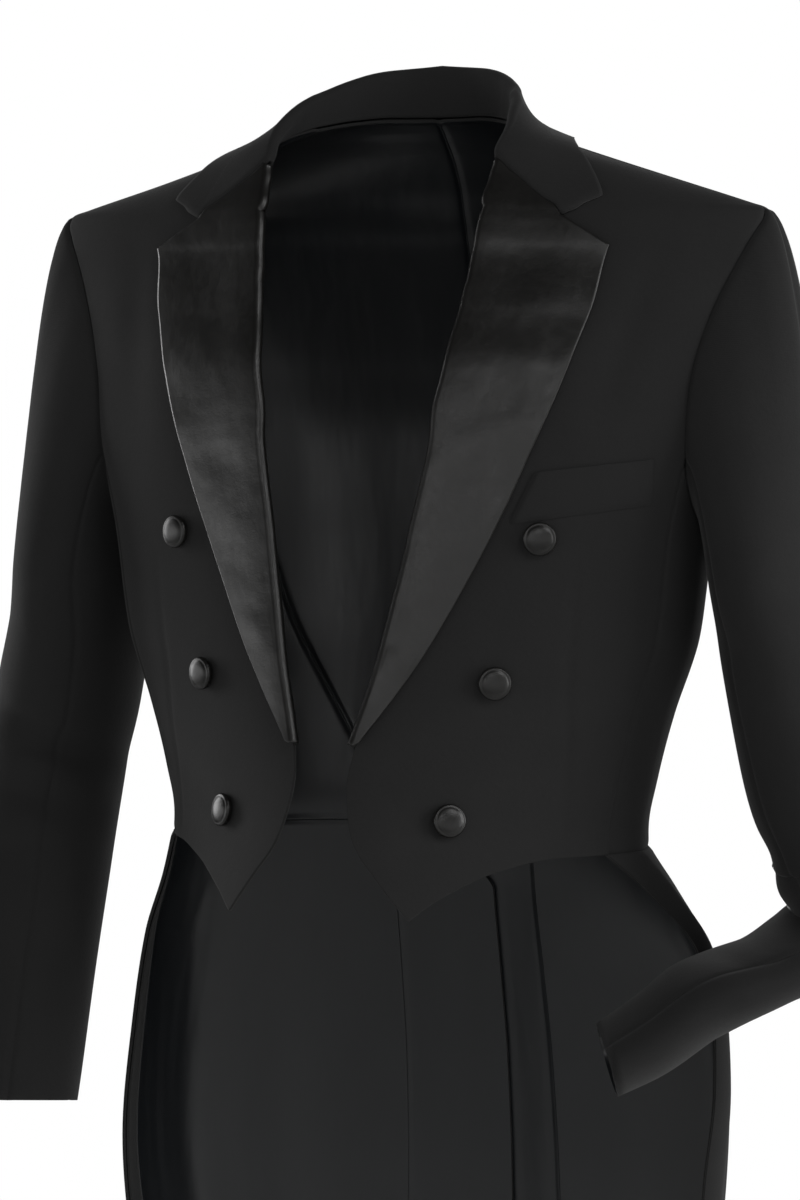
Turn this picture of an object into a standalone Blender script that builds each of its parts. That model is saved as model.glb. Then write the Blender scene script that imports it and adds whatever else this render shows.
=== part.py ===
"""A white tie tailcoat, as worn: hollow, open at the neck, front, cuffs and hem.

Metres, +Z up, the coat's front faces -Y and the wearer's left is +X. The origin is between the shoulders,
level with the neck, where the wearer holds the coat up. Every panel is cut from one body surface, which is a
function of the turn round the body (0 at the centre front, half a turn at the centre back) and the height.
"""
import math

import bpy
import numpy as np

# Cloth, in metres
CLOTH = 0.0020
SATIN = 0.0010
SEAM_GAP = 0.0006
BENT_SEAM_GAP = 0.0009
LAYER_GAP = 0.0004
LINING_GAP = 0.0008
FOLD_GAP = 0.0021
ROLL_RADIUS = 0.0030
ROLL_EASE = 0.030
FALL_POWER = 1.25

# The body surface, one ring a row. Depths are measured from the ring's side point to the front and the back.
RING_COLUMNS = ("height", "half_width", "side_y", "front_depth", "front_power", "back_depth", "back_power")
RINGS = np.array([
    (0.006, 0.046, 0.002, 0.030, 2.4, 0.036, 2.2),
    (-0.002, 0.066, 0.002, 0.038, 2.5, 0.046, 2.2),
    (-0.008, 0.082, 0.001, 0.043, 2.5, 0.053, 2.1),
    (-0.018, 0.112, 0.000, 0.049, 2.3, 0.064, 2.0),
    (-0.036, 0.170, -0.003, 0.054, 1.7, 0.079, 1.8),
    (-0.0525, 0.2240, -0.0080, 0.0580, 1.45, 0.0900, 1.7),
    (-0.0560, 0.2345, -0.0085, 0.0585, 1.44, 0.0915, 1.7),
    (-0.0640, 0.2385, -0.0100, 0.0600, 1.42, 0.0960, 1.7),
    (-0.077, 0.2385, -0.012, 0.062, 1.4, 0.102, 1.7),
    (-0.117, 0.230, -0.012, 0.071, 1.65, 0.118, 1.8),
    (-0.152, 0.221, -0.012, 0.084, 1.72, 0.127, 1.9),
    (-0.198, 0.209, -0.012, 0.089, 1.95, 0.133, 2.0),
    (-0.250, 0.197, -0.013, 0.095, 1.85, 0.131, 2.0),
    (-0.313, 0.189, -0.013, 0.107, 1.65, 0.122, 2.0),
    (-0.362, 0.173, -0.013, 0.117, 1.55, 0.111, 2.0),
    (-0.400, 0.163, -0.013, 0.128, 1.45, 0.103, 2.0),
    (-0.435, 0.157, -0.013, 0.141, 1.4, 0.098, 2.0),
    (-0.480, 0.162, -0.013, 0.155, 1.4, 0.102, 2.0),
    (-0.540, 0.173, -0.012, 0.156, 1.6, 0.114, 2.0),
    (-0.600, 0.182, -0.010, 0.156, 1.8, 0.124, 2.0),
    (-0.680, 0.187, -0.008, 0.156, 1.9, 0.130, 2.0),
    (-0.800, 0.188, -0.006, 0.156, 2.0, 0.132, 2.0),
    (-1.000, 0.184, -0.004, 0.156, 2.0, 0.130, 2.0),
])

# The front's pattern lines as seen from straight ahead: distance from the centre and height
EDGE_BELOW_BREAK = np.array([(0.0590, -0.4770), (0.0400, -0.4530), (0.0255, -0.4330), (0.0195, -0.4130),
                             (0.0175, -0.3930), (0.0200, -0.3760)])
ROLL_LINE = np.array([(0.0200, -0.3760), (0.0331, -0.3272), (0.0425, -0.2806), (0.0533, -0.2240),
                      (0.0590, -0.1838), (0.0641, -0.1519), (0.0672, -0.1300), (0.0699, -0.1116),
                      (0.0722, -0.0930), (0.0741, -0.0748), (0.0751, -0.0640), (0.0758, -0.0530),
                      (0.0764, -0.0445), (0.0771, -0.0360), (0.0778, -0.0275)])
LAPEL_EDGE = np.array([(0.0225, -0.3745), (0.0415, -0.3460), (0.0615, -0.3134), (0.0809, -0.2755),
                       (0.0991, -0.2369), (0.1152, -0.1984), (0.1321, -0.1527), (0.1428, -0.1170),
                       (0.1498, -0.0775)])

# The neck seam as seen from above, from the roll line to the shoulder seam and on to the centre back
NECK_FRONT = np.array([(0.0795, -0.0405), (0.0806, -0.0355), (0.0803, -0.0291), (0.0785, -0.0230),
                       (0.0754, -0.0152), (0.0713, -0.0069), (0.0655, 0.0012)])
NECK_BACK = np.array([(0.0655, 0.0012), (0.0520, 0.0190), (0.0290, 0.0340), (0.0, 0.0400)])
NOTCH = (0.1200, -0.0600)
NOTCH_EDGE = (0.1312, -0.0545)
COLLAR_CORNER = (0.1420, -0.0488)
FRONT_HEM = np.array([(0.0590, -0.4770), (0.0730, -0.4650), (0.1001, -0.4500), (0.1260, -0.4440),
                      (0.1465, -0.4440)])

# The armhole is an oval in turn and height
ARMHOLE_CENTRE = -0.1500
ARMHOLE_HALF_HEIGHT = 0.0955
ARMHOLE_FRONT_TURN = math.radians(24)
ARMHOLE_BACK_TURN = math.radians(30)
ARMHOLE_POINTS = 20
SIDE_SEAM_POINT = 7
BACK_SEAM_POINT = 16
UNDER_SLEEVE_END = 13

# Rows and columns of faces, and the rows at which a sleeve's lengths end
FRONT_COLUMNS = 9
SIDE_ROWS = 15
EDGE_ROWS = 3
ROLL_ROWS = 14
SHOULDER_COLUMNS = 6
NECK_COLUMNS = 5
ARM_ROWS = 11
HEAD_ROW = 5
ELBOW_ROW = 10
CURL_STEPS = 4
LAPEL_COLUMNS = 5
GORGE_COLUMNS = 3
STAND_ROWS = 2
FALL_ROWS = 4

# Steps of the surface's own sums: samples along a line, halvings of a height, and the two short steps and the
# margin at the centre lines of a normal
LINE_SAMPLES = 161
HALVINGS = 40
SHOULDER_POINT_HEIGHT = -0.110
NORMAL_STEP = 0.001
POLE_MARGIN = 0.02

# The seam between the back and the side body, as turn and height between waist and armhole, then the tail
BACK_SEAM = np.array([(math.radians(142), -0.330), (math.radians(131), -0.230)])
WAIST = -0.4440
BACK_SEAM_WAIST = 0.0480
BACK_SEAM_HEM = 0.0620
HEM = -1.0000
TAIL_HEIGHTS = np.array([-1.000, -0.900, -0.800, -0.700, -0.620, -0.560, -0.520, -0.500, -0.480, -0.462,
                         WAIST])
VENT_LAP = 0.018
VENT_TOP = WAIST - 0.020
VENT_EASE = 0.020
VENT_LIFT_EDGE = 0.044
VENT_LIFT_EASE = 0.014
BACK_TOP_POWER = 8

# The tails' front edges, one row a height: across, depth and height
TAIL_EDGE_HANGING = np.array([(0.1465, -0.0420, WAIST), (0.1530, -0.0425, -0.470), (0.1660, -0.0420, -0.508),
                              (0.1760, -0.0420, -0.568), (0.1840, -0.0400, -0.640), (0.1850, -0.0300, -0.700),
                              (0.1790, 0.0050, -0.800), (0.1620, 0.0500, -0.900), (0.1400, 0.0820, HEM)])
TAIL_EDGE_SWUNG = np.array([(0.1465, -0.0420, WAIST), (0.1635, -0.0130, -0.470), (0.1800, 0.0300, -0.513),
                            (0.1845, 0.0450, -0.560), (0.1835, 0.0490, -0.600), (0.1755, 0.0530, -0.660),
                            (0.1620, 0.0660, -0.800), (0.1480, 0.0820, -0.900), (0.1320, 0.0980, HEM)])
TAIL_FACING_WIDTH = 0.020
FACING_LARGEST_SHARE = 0.9
TAIL_SWING = 0.022
TAIL_SWING_DROP = 0.12
TAIL_EDGE_POWER = 1.6

# The sleeves, one ring a row: centre (x, y, z), direction in which the ring is wide (x, y, z), half width and
# half thickness
SLEEVE_BENT = np.array([
    (0.2385, 0.0020, -0.275, 0.00, 1.00, 0.05, 0.063, 0.0365),
    (0.2450, 0.0080, -0.315, -0.03, 1.00, 0.10, 0.061, 0.0395),
    (0.2600, 0.0180, -0.395, -0.08, 1.00, 0.15, 0.057, 0.0430),
    (0.2730, 0.0260, -0.452, -0.20, 0.95, 0.20, 0.055, 0.0400),
    (0.2720, 0.0250, -0.484, -0.40, 0.85, 0.20, 0.055, 0.0290),
    (0.2580, 0.0140, -0.500, -0.48, 0.84, 0.10, 0.057, 0.0225),
    (0.2350, -0.0050, -0.5135, -0.46, 0.88, 0.00, 0.059, 0.0200),
    (0.2000, -0.0280, -0.5305, -0.43, 0.90, -0.05, 0.060, 0.0235),
    (0.1755, -0.0430, -0.5510, -0.41, 0.91, -0.06, 0.059, 0.0232),
    (0.1522, -0.0560, -0.5662, -0.41, 0.91, -0.06, 0.058, 0.0210),
])
SLEEVE_HANGING = np.array([
    (0.2335, -0.0020, -0.275, 0.00, 1.00, 0.00, 0.060, 0.0355),
    (0.2385, 0.0060, -0.315, 0.00, 1.00, 0.00, 0.059, 0.0395),
    (0.2495, 0.0110, -0.360, 0.00, 1.00, 0.05, 0.058, 0.0430),
    (0.2585, 0.0060, -0.402, 0.00, 1.00, -0.12, 0.056, 0.0445),
    (0.2615, -0.0090, -0.460, 0.00, 1.00, -0.25, 0.055, 0.0450),
    (0.2625, -0.0310, -0.527, 0.00, 1.00, -0.30, 0.054, 0.0460),
    (0.2614, -0.0650, -0.619, 0.00, 1.00, -0.35, 0.052, 0.0490),
])
CUFF_FACES_BENT = np.array([-0.875, -0.407, -0.262])
CUFF_FACES_HANGING = np.array([-0.070, -0.157, -0.970])
CAP_SHARES = np.array([0.0, 0.07, 0.18, 0.36, 0.64])
CAP_START_PULL = 0.066
CAP_END_PULL = 0.110
CAP_LOW_PULL = 0.76
SHOULDER_SLOPE = 0.31
ARMHOLE_GAP = 0.0017
STAND_SEAM_GAP = 0.0013
FOLD_SEAM_GAP = 0.0005
CAP_FULLNESS = 0.30

# The collar, by share of its length: the fold's height over the neck seam and how upright its stand is. Then
# the way that the upright stand leans, and the fall's edge seen from above
FOLD_HEIGHT = np.array([(0.00, 0.0016), (0.17, 0.005), (0.38, 0.0125), (0.55, 0.0175), (0.75, 0.025),
                        (1.00, 0.029)])
FALL_STEEPNESS = np.array([(0.00, 1.25), (0.30, 2.7), (0.60, 2.7), (1.00, 1.4)])
UPRIGHT = np.array([(0.00, 0.0), (0.25, 0.6), (0.60, 1.0), (1.00, 1.0)])
STAND_LEANS = np.array([0.0, 0.08, 1.0])
FALL_EDGE = np.array([(0.1362, -0.0345), (0.1300, -0.0297), (0.1240, -0.0255), (0.1175, -0.0205),
                      (0.1110, -0.0110), (0.1055, 0.0010), (0.0940, 0.0205), (0.0700, 0.0420),
                      (0.0360, 0.0560), (0.0, 0.0600)])

# Pocket welt and buttons, as seen from straight ahead
WELT_TOP = np.array([(0.1165, -0.2122), (0.1800, -0.2045)])
WELT_BOTTOM = np.array([(0.1020, -0.2433), (0.1780, -0.2318)])
WELT_THICKNESS = 0.0012
WELT_ROWS = 2
WELT_COLUMNS = 5
BUTTONS = ((0.1198, -0.2516), (0.0960, -0.3375), (0.0733, -0.4193))
BACK_BUTTON = (0.0480, -0.4310)
BUTTON_GAP = 0.0008
BACK_BUTTON_GAP = 0.0013
BUTTON_RADIUS = 0.0102
BUTTON_HEIGHT = 0.0058
BUTTON_SIDES = 14
BUTTON_MERGE = 0.0001
BUTTON_PROFILE = ((0.0, 1.0), (0.55, 0.90), (0.90, 0.58), (1.0, 0.30), (0.86, 0.0), (0.0, 0.0))

# Base colour, roughness and sheen of each material
MATERIALS = {
    "wool": ((0.016, 0.016, 0.017, 1.0), 0.90, 0.35),
    "satin": ((0.010, 0.010, 0.010, 1.0), 0.32, 0.0),
    "lining_satin": ((0.004, 0.005, 0.007, 1.0), 0.30, 0.0),
}

# From the wearer's left to the right
MIRROR = np.array([-1.0, 1.0, 1.0])


def smooth(knots, values, at):
    """A curve through the values that never overshoots them: cubic pieces with limited slopes."""
    order = np.argsort(knots)
    x, y = np.asarray(knots, float)[order], np.asarray(values, float)[order]
    steps = np.diff(x)
    slopes = np.diff(y) / steps
    ends = np.empty(len(x))
    ends[0], ends[-1] = slopes[0], slopes[-1]
    before, after = slopes[:-1], slopes[1:]
    same_way = before * after > 0
    mean = 2 * before * after / np.where(same_way, before + after, 1.0)
    ends[1:-1] = np.where(same_way, mean, 0.0)
    at = np.clip(at, x[0], x[-1])
    i = np.clip(np.searchsorted(x, at, side="right") - 1, 0, len(steps) - 1)
    u = (at - x[i]) / steps[i]
    v = 1 - u
    return (y[i] * (1 + 2 * u) * v * v + y[i + 1] * (1 + 2 * v) * u * u
            + steps[i] * u * v * (ends[i] * v - ends[i + 1] * u))


def ring(column, height):
    """One column of the ring table at any height."""
    return smooth(RINGS[:, 0], RINGS[:, RING_COLUMNS.index(column)], height)


def half_ring(front, height):
    """Depth and power of a ring's front or back half."""
    depth = np.where(front, ring("front_depth", height), ring("back_depth", height))
    power = np.where(front, ring("front_power", height), ring("back_power", height))
    return depth, power


def body(turn, height):
    """Points of the body surface: superellipse rings, whose front and back halves have their own depth."""
    turn, height = np.broadcast_arrays(np.asarray(turn, float), np.asarray(height, float))
    side, ahead = np.sin(turn), np.cos(turn)
    depth, power = half_ring(ahead > 0, height)
    x = ring("half_width", height) * np.sign(side) * np.abs(side) ** (2 / power)
    y = ring("side_y", height) - depth * np.sign(ahead) * np.abs(ahead) ** (2 / power)
    return np.stack([x, y, height], -1)


def turn_at(across, height, back=False):
    """The turn at which a ring is this far from the centre, on its front or its back half."""
    power = ring("back_power" if back else "front_power", height)
    share = np.clip(np.asarray(across) / ring("half_width", height), 0, 1)
    turn = np.arcsin(share ** (power / 2))
    return math.pi - turn if back else turn


def on_front(table):
    """A front pattern line as pairs of turn and height."""
    table = np.atleast_2d(table)
    return np.stack([turn_at(table[:, 0], table[:, 1]), table[:, 1]], -1)


def from_above(table):
    """Turn and height of the points of the body's upper surface under places seen from above."""
    across, depth = np.asarray(table, float).T
    low, high = np.full(len(across), SHOULDER_POINT_HEIGHT), np.full(len(across), RINGS[0, 0])
    for _ in range(HALVINGS):
        height = (low + high) / 2
        ahead = ring("side_y", height) - depth
        reach, power = half_ring(ahead > 0, height)
        outside = (across / ring("half_width", height)) ** power + (np.abs(ahead) / reach) ** power > 1
        low, high = np.where(outside, low, height), np.where(outside, height, high)
    turn = np.arctan2((across / ring("half_width", height)) ** (power / 2),
                      np.sign(ahead) * (np.abs(ahead) / reach) ** (power / 2))
    return np.stack([turn, height], -1)


def unit(v):
    """Vectors of length one."""
    return v / np.maximum(np.linalg.norm(v, axis=-1, keepdims=True), 1e-12)


def body_normal(turn, height):
    """Outward normals of the body surface, from two short steps on it."""
    turn = np.clip(turn, POLE_MARGIN, math.pi - POLE_MARGIN)
    round_it = body(turn + NORMAL_STEP, height) - body(turn - NORMAL_STEP, height)
    down = body(turn, height - NORMAL_STEP) - body(turn, height + NORMAL_STEP)
    return unit(np.cross(down, round_it))


def spread(curve, count):
    """A polyline of turn and height as count + 1 points, evenly apart on the body."""
    dense = resample(curve, np.linspace(0, 1, LINE_SAMPLES))
    points = body(dense[:, 0], dense[:, 1])
    lengths = np.concatenate([[0], np.cumsum(np.linalg.norm(np.diff(points, axis=0), axis=1))])
    wanted = np.linspace(0, lengths[-1], count + 1)
    return np.stack([np.interp(wanted, lengths, dense[:, k]) for k in range(dense.shape[1])], -1)


def resample(curve, at):
    """A smooth curve through the rows of a table, at shares of its length from 0 to 1."""
    curve = np.asarray(curve, float)
    lengths = np.concatenate([[0], np.cumsum(np.linalg.norm(np.diff(curve, axis=0), axis=1))])
    share = lengths / lengths[-1]
    return np.stack([smooth(share, curve[:, k], at) for k in range(curve.shape[1])], -1)


def join(*curves):
    """Curves end to end, without the points that they share."""
    return np.concatenate([curves[0]] + [c[1:] for c in curves[1:]])


def coons(left, right, bottom, top, top_power=1):
    """A grid between four borders that meet at their ends; a higher power keeps the top's shape near it."""
    rows = np.linspace(0, 1, len(left))[:, None, None] ** top_power
    columns = np.linspace(0, 1, len(bottom))[None, :, None]
    across = (1 - columns) * left[:, None] + columns * right[:, None]
    up = (1 - rows) * bottom[None] + rows * top[None]
    corners = ((1 - rows) * ((1 - columns) * bottom[0] + columns * bottom[-1])
               + rows * ((1 - columns) * top[0] + columns * top[-1]))
    return across + up - corners


def pull_in(points, gap=SEAM_GAP, top_gap=SEAM_GAP):
    """Moves a grid's four borders in by half the gap that a seam keeps."""
    points = points.copy()
    points[0] += gap / 2 * unit(points[1] - points[0])
    points[-1] += top_gap / 2 * unit(points[-2] - points[-1])
    points[:, 0] += gap / 2 * unit(points[:, 1] - points[:, 0])
    points[:, -1] += gap / 2 * unit(points[:, -2] - points[:, -1])
    return points


def material(name):
    """The named material, made on first use."""
    found = bpy.data.materials.get(name)
    if found:
        return found
    colour, roughness, sheen = MATERIALS[name]
    made = bpy.data.materials.new(name)
    made.use_nodes = True
    shader = made.node_tree.nodes["Principled BSDF"]
    shader.inputs["Base Color"].default_value = colour
    shader.inputs["Roughness"].default_value = roughness
    shader.inputs["Metallic"].default_value = 0.0
    shader.inputs["Sheen Weight"].default_value = sheen
    made.diffuse_color = colour
    return made


def add_object(name, mesh, finish):
    """Puts a mesh in the coat's collection under the node's name."""
    mesh.materials.append(material(finish))
    mesh.shade_smooth()
    made = bpy.data.objects.new(name, mesh)
    coat.objects.link(made)
    return made


def sheet(name, grid, thickness, finish, mirrored=False):
    """A wall of cloth: a grid of points as an open surface, thickened by Solidify to both sides."""
    points = grid * MIRROR if mirrored else grid
    rows, columns = points.shape[:2]
    index = np.arange(rows * columns).reshape(rows, columns)
    faces = np.stack([index[:-1, :-1], index[:-1, 1:], index[1:, 1:], index[1:, :-1]], -1).reshape(-1, 4)
    mesh = bpy.data.meshes.new(name)
    mesh.from_pydata(points.reshape(-1, 3).tolist(), [], faces.tolist())
    made = add_object(name, mesh, finish)
    wall = made.modifiers.new("wall", "SOLIDIFY")
    wall.thickness = thickness
    wall.offset = 0.0
    return made


def both(name, grid, thickness, finish):
    """The same panel for the wearer's left and right."""
    sheet(name + "_L", grid, thickness, finish)
    sheet(name + "_R", grid, thickness, finish, mirrored=True)


def armhole(points):
    """Turn and height of numbered armhole points: 0 at the shoulder, half way under the arm, by the front."""
    angle = 2 * math.pi * np.asarray(points, float) / ARMHOLE_POINTS
    half_turn = np.where(np.sin(angle) > 0, -ARMHOLE_FRONT_TURN, -ARMHOLE_BACK_TURN)
    return np.stack([math.pi / 2 + half_turn * np.sin(angle),
                     ARMHOLE_CENTRE + ARMHOLE_HALF_HEIGHT * np.cos(angle)], -1)


def pattern():
    """The seam lines that neighbouring panels share, each as turn and height."""
    lines = {}
    roll = on_front(ROLL_LINE)
    neck_front, neck_back = from_above(NECK_FRONT), from_above(NECK_BACK)
    neck = neck_front[-1:]
    lines["edge"] = spread(on_front(EDGE_BELOW_BREAK), EDGE_ROWS)
    lines["roll"] = spread(roll, ROLL_ROWS)
    lines["front_neck"] = spread(np.concatenate([roll[-1:], neck_front]), NECK_COLUMNS)
    waist_side = on_front(FRONT_HEM)[-1:]
    seam_top = armhole([SIDE_SEAM_POINT])
    lines["side_seam"] = spread(np.concatenate([waist_side, seam_top]), SIDE_ROWS)
    lines["front_armhole"] = armhole(np.arange(SIDE_SEAM_POINT, -1, -1))
    lines["front_hem"] = spread(on_front(FRONT_HEM), FRONT_COLUMNS)
    shoulder = armhole([0])
    lines["front_shoulder"] = spread(np.concatenate([neck, shoulder]), FRONT_COLUMNS)
    lines["back_shoulder"] = spread(np.concatenate([neck, shoulder]), SHOULDER_COLUMNS)
    lines["back_neck"] = spread(neck_back[::-1], NECK_COLUMNS)
    seam_waist = np.array([[turn_at(BACK_SEAM_WAIST, WAIST, back=True), WAIST]])
    seam_top = armhole([BACK_SEAM_POINT])
    lines["back_seam"] = spread(np.concatenate([seam_waist, BACK_SEAM, seam_top]), SIDE_ROWS)
    lines["waist"] = spread(np.concatenate([waist_side, seam_waist]), BACK_SEAM_POINT - SIDE_SEAM_POINT)
    across = np.interp(TAIL_HEIGHTS, [HEM, WAIST], [BACK_SEAM_HEM, BACK_SEAM_WAIST])
    lines["tail_seam"] = np.stack([turn_at(across, TAIL_HEIGHTS, back=True), TAIL_HEIGHTS], -1)
    lines["centre_back"] = join(np.stack([np.full(len(TAIL_HEIGHTS), math.pi), TAIL_HEIGHTS], -1),
                                spread(np.array([[math.pi, WAIST], neck_back[-1]]),
                                       SIDE_ROWS + ARMHOLE_POINTS - BACK_SEAM_POINT))
    return lines


def make_fronts(lines):
    """The two fronts: from the centre edge and the roll line to the side seam and the armhole."""
    grid = coons(join(lines["edge"], lines["roll"], lines["front_neck"]),
                 join(lines["side_seam"], lines["front_armhole"]),
                 lines["front_hem"], lines["front_shoulder"])
    both("front", pull_in(body(grid[..., 0], grid[..., 1]), top_gap=BENT_SEAM_GAP), CLOTH, "wool")


def make_side_bodies(lines):
    """The two side bodies, under the arms."""
    top = armhole(np.arange(SIDE_SEAM_POINT, BACK_SEAM_POINT + 1))
    grid = coons(lines["side_seam"], lines["back_seam"], lines["waist"], top)
    both("side_body", pull_in(body(grid[..., 0], grid[..., 1])), CLOTH, "wool")


def make_backs(lines):
    """The two backs and, below the waist, the tails' centre strips, which lap at the vent."""
    right = join(lines["tail_seam"], lines["back_seam"],
                 armhole(np.arange(BACK_SEAM_POINT, ARMHOLE_POINTS + 1)))
    hem = np.stack([np.linspace(math.pi, right[0, 0], NECK_COLUMNS + SHOULDER_COLUMNS + 1),
                    np.full(NECK_COLUMNS + SHOULDER_COLUMNS + 1, HEM)], -1)
    grid = coons(lines["centre_back"], right, hem, join(lines["back_neck"], lines["back_shoulder"]),
                 BACK_TOP_POWER)
    across, height = body(grid[..., 0], grid[..., 1])[..., 0], grid[..., 1]
    near_centre = np.clip((VENT_LIFT_EDGE - across) / VENT_LIFT_EASE, 0, 1)
    open_part = np.clip((VENT_TOP + VENT_EASE - height) / VENT_EASE, 0, 1)
    below_vent = np.clip((VENT_TOP - height) / VENT_EASE, 0, 1)
    lap = VENT_LAP * below_vent * np.clip(1 - across / VENT_LIFT_EDGE, 0, 1)
    lapped = body(grid[..., 0] + lap / ring("half_width", height), height)
    lift = (CLOTH / 2 + LAYER_GAP) * open_part * near_centre
    waist_row = len(TAIL_HEIGHTS) - 1
    for name, side in (("L", 1.0), ("R", -1.0)):
        points = lapped.copy()
        points[..., 1] += side * lift
        sheet("tail_strip_" + name, pull_in(points[:waist_row + 1]), CLOTH, "wool", mirrored=side < 0)
        upper = pull_in(points[waist_row:], top_gap=BENT_SEAM_GAP)
        sheet("back_" + name, upper, CLOTH, "wool", mirrored=side < 0)


def tail_points(lines, edge, swing):
    """A tail skirt from the back strip to its front edge; a swung tail is carried back in a soft wave."""
    edge_at = np.stack([smooth(edge[:, 2], edge[:, k], TAIL_HEIGHTS) for k in range(3)], -1)
    seam = body(lines["tail_seam"][:, 0], lines["tail_seam"][:, 1])
    columns = FRONT_COLUMNS + 1
    share = np.linspace(0, 1, columns)
    hanging = np.stack([smooth(TAIL_EDGE_HANGING[:, 2], TAIL_EDGE_HANGING[:, k], TAIL_HEIGHTS)
                        for k in range(3)], -1)
    drop = ring("side_y", TAIL_HEIGHTS) - hanging[:, 1]
    depth, power = half_ring(drop > 0, TAIL_HEIGHTS)
    cosine = np.sign(drop) * (np.abs(drop) / depth) ** (power / 2)
    edge_turn = np.arccos(np.clip(cosine, -1, 1))
    turn = lines["tail_seam"][:, :1] + (edge_turn[:, None] - lines["tail_seam"][:, :1]) * share
    points = body(turn, np.broadcast_to(TAIL_HEIGHTS[:, None], turn.shape))
    points += (edge_at - points[:, -1])[:, None] * (share ** TAIL_EDGE_POWER)[None, :, None]
    fall = np.clip((WAIST - TAIL_HEIGHTS) / TAIL_SWING_DROP, 0, 1)[:, None]
    fall = fall * fall * (3 - 2 * fall)
    points[..., 1] += swing * fall * np.sin(math.pi * share) ** 2
    points[:, 0] = seam
    return points


def make_tails(lines):
    """The tail skirts with the satin lining and the cloth facing inside them."""
    for side, edge, swing, mirrored in (("L", TAIL_EDGE_SWUNG, TAIL_SWING, False),
                                        ("R", TAIL_EDGE_HANGING, 0.0, True)):
        points = tail_points(lines, edge, swing)
        sheet("tail_skirt_" + side, pull_in(points), CLOTH, "wool", mirrored)
        normal = unit(np.cross(np.gradient(points, axis=1), np.gradient(points, axis=0)))
        normal *= np.sign(normal[0, 0, 1])
        inner = points - normal * ((CLOTH + SATIN) / 2 + LINING_GAP)
        width = np.linalg.norm(points[:, -1] - points[:, -2], axis=-1)
        back_off = 1 - np.minimum(TAIL_FACING_WIDTH / width, FACING_LARGEST_SHARE)
        split = inner[:, -2] + (inner[:, -1] - inner[:, -2]) * back_off[:, None]
        lining = np.concatenate([inner[:, :-1], split[:, None]], 1)
        sheet("tail_lining_" + side, pull_in(lining), SATIN, "lining_satin", mirrored)
        facing = np.stack([split, inner[:, -1]], 1)
        sheet("tail_facing_" + side, pull_in(facing), SATIN, "wool", mirrored)


def sleeve_points(table, cuff_faces):
    """A sleeve's grid: rows from the armhole to the cuff, columns round it from the shoulder by the front."""
    angle = 2 * math.pi * np.arange(ARMHOLE_POINTS + 1) / ARMHOLE_POINTS
    rows = resample(table, np.linspace(0, 1, ARM_ROWS + 1))
    centre = rows[:, :3]
    along = unit(np.gradient(centre, axis=0))
    along[-1] = cuff_faces
    along[-2] = unit(along[-3] + cuff_faces)
    wide = unit(rows[:, 3:6] - np.sum(rows[:, 3:6] * along, -1, keepdims=True) * along)
    thin = np.cross(along, wide)
    thin *= np.sign(thin[:, :1])
    rings = (centre[:, None] + thin[:, None] * rows[:, 7, None, None] * np.cos(angle)[None, :, None]
             - wide[:, None] * rows[:, 6, None, None] * np.sin(angle)[None, :, None])
    seam = armhole(np.arange(ARMHOLE_POINTS + 1))
    start = body(seam[:, 0], seam[:, 1])
    high = np.clip(np.cos(angle), 0, 1)[:, None]
    across = np.array([1.0, 0.0, 0.0]) - high * np.array([0.0, 0.0, SHOULDER_SLOPE])
    fullness = CAP_FULLNESS * (1 - high)
    leave = unit(across * (1 - fullness) + body_normal(seam[:, 0], seam[:, 1]) * fullness)
    start = start + leave * ARMHOLE_GAP
    arrive = unit(rings[1] - rings[0])
    share = CAP_SHARES[:, None, None]
    pull = (1 - CAP_LOW_PULL * (1 - np.cos(angle)) / 2)[None, :, None]
    h00 = 2 * share ** 3 - 3 * share ** 2 + 1
    h10 = share ** 3 - 2 * share ** 2 + share
    h01 = -2 * share ** 3 + 3 * share ** 2
    h11 = share ** 3 - share ** 2
    cap = (h00 * start + h10 * leave * CAP_START_PULL * pull
           + h01 * rings[0] + h11 * arrive * CAP_END_PULL * pull)
    return np.concatenate([cap, rings])


def make_sleeves():
    """Each sleeve is an upper and an under sleeve, each of them in lengths from the armhole to the cuff."""
    for side, table, faces, mirrored in (("L", SLEEVE_BENT, CUFF_FACES_BENT, False),
                                         ("R", SLEEVE_HANGING, CUFF_FACES_HANGING, True)):
        points = sleeve_points(table, faces)
        upper = np.concatenate([points[:, UNDER_SLEEVE_END:-1], points[:, :SIDE_SEAM_POINT + 1]], 1)
        under = points[:, SIDE_SEAM_POINT:UNDER_SLEEVE_END + 1]
        lengths = (("sleeve_head_", upper[:HEAD_ROW + 1]), ("upper_sleeve_", upper[HEAD_ROW:ELBOW_ROW + 1]),
                   ("upper_forearm_", upper[ELBOW_ROW:]), ("under_sleeve_", under[:ELBOW_ROW + 1]),
                   ("under_forearm_", under[ELBOW_ROW:]))
        for name, grid in lengths:
            sheet(name + side, pull_in(grid, BENT_SEAM_GAP), CLOTH, "wool", mirrored)


def fold_height(distance):
    """How far the turned cloth stands off the front, from the roll line outwards."""
    settled = CLOTH + FOLD_GAP
    return settled + (2 * ROLL_RADIUS - settled) * np.exp(-(distance / ROLL_EASE) ** 2)


def turned(start, rise, out, base, normal, distance, stand, power):
    """Columns of a folded piece: up the stand, round the fold's half circle and down over the base points."""
    top = start + rise * stand
    columns = []
    if np.max(stand) > 0:
        columns += [start + rise * stand * k / STAND_ROWS for k in range(STAND_ROWS)]
    for k in range(CURL_STEPS):
        a = math.pi * k / CURL_STEPS
        columns.append(top + out * ROLL_RADIUS * (1 - math.cos(a)) + rise * ROLL_RADIUS * math.sin(a))
    lifted = base + normal * fold_height(distance)[..., None]
    above = top + out * 2 * ROLL_RADIUS - lifted[:, 0]
    for k, share in enumerate(np.linspace(0, 1, base.shape[1])):
        columns.append(lifted[:, k] + above * (1 - share) ** power)
    return np.stack(columns, 1)


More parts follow.
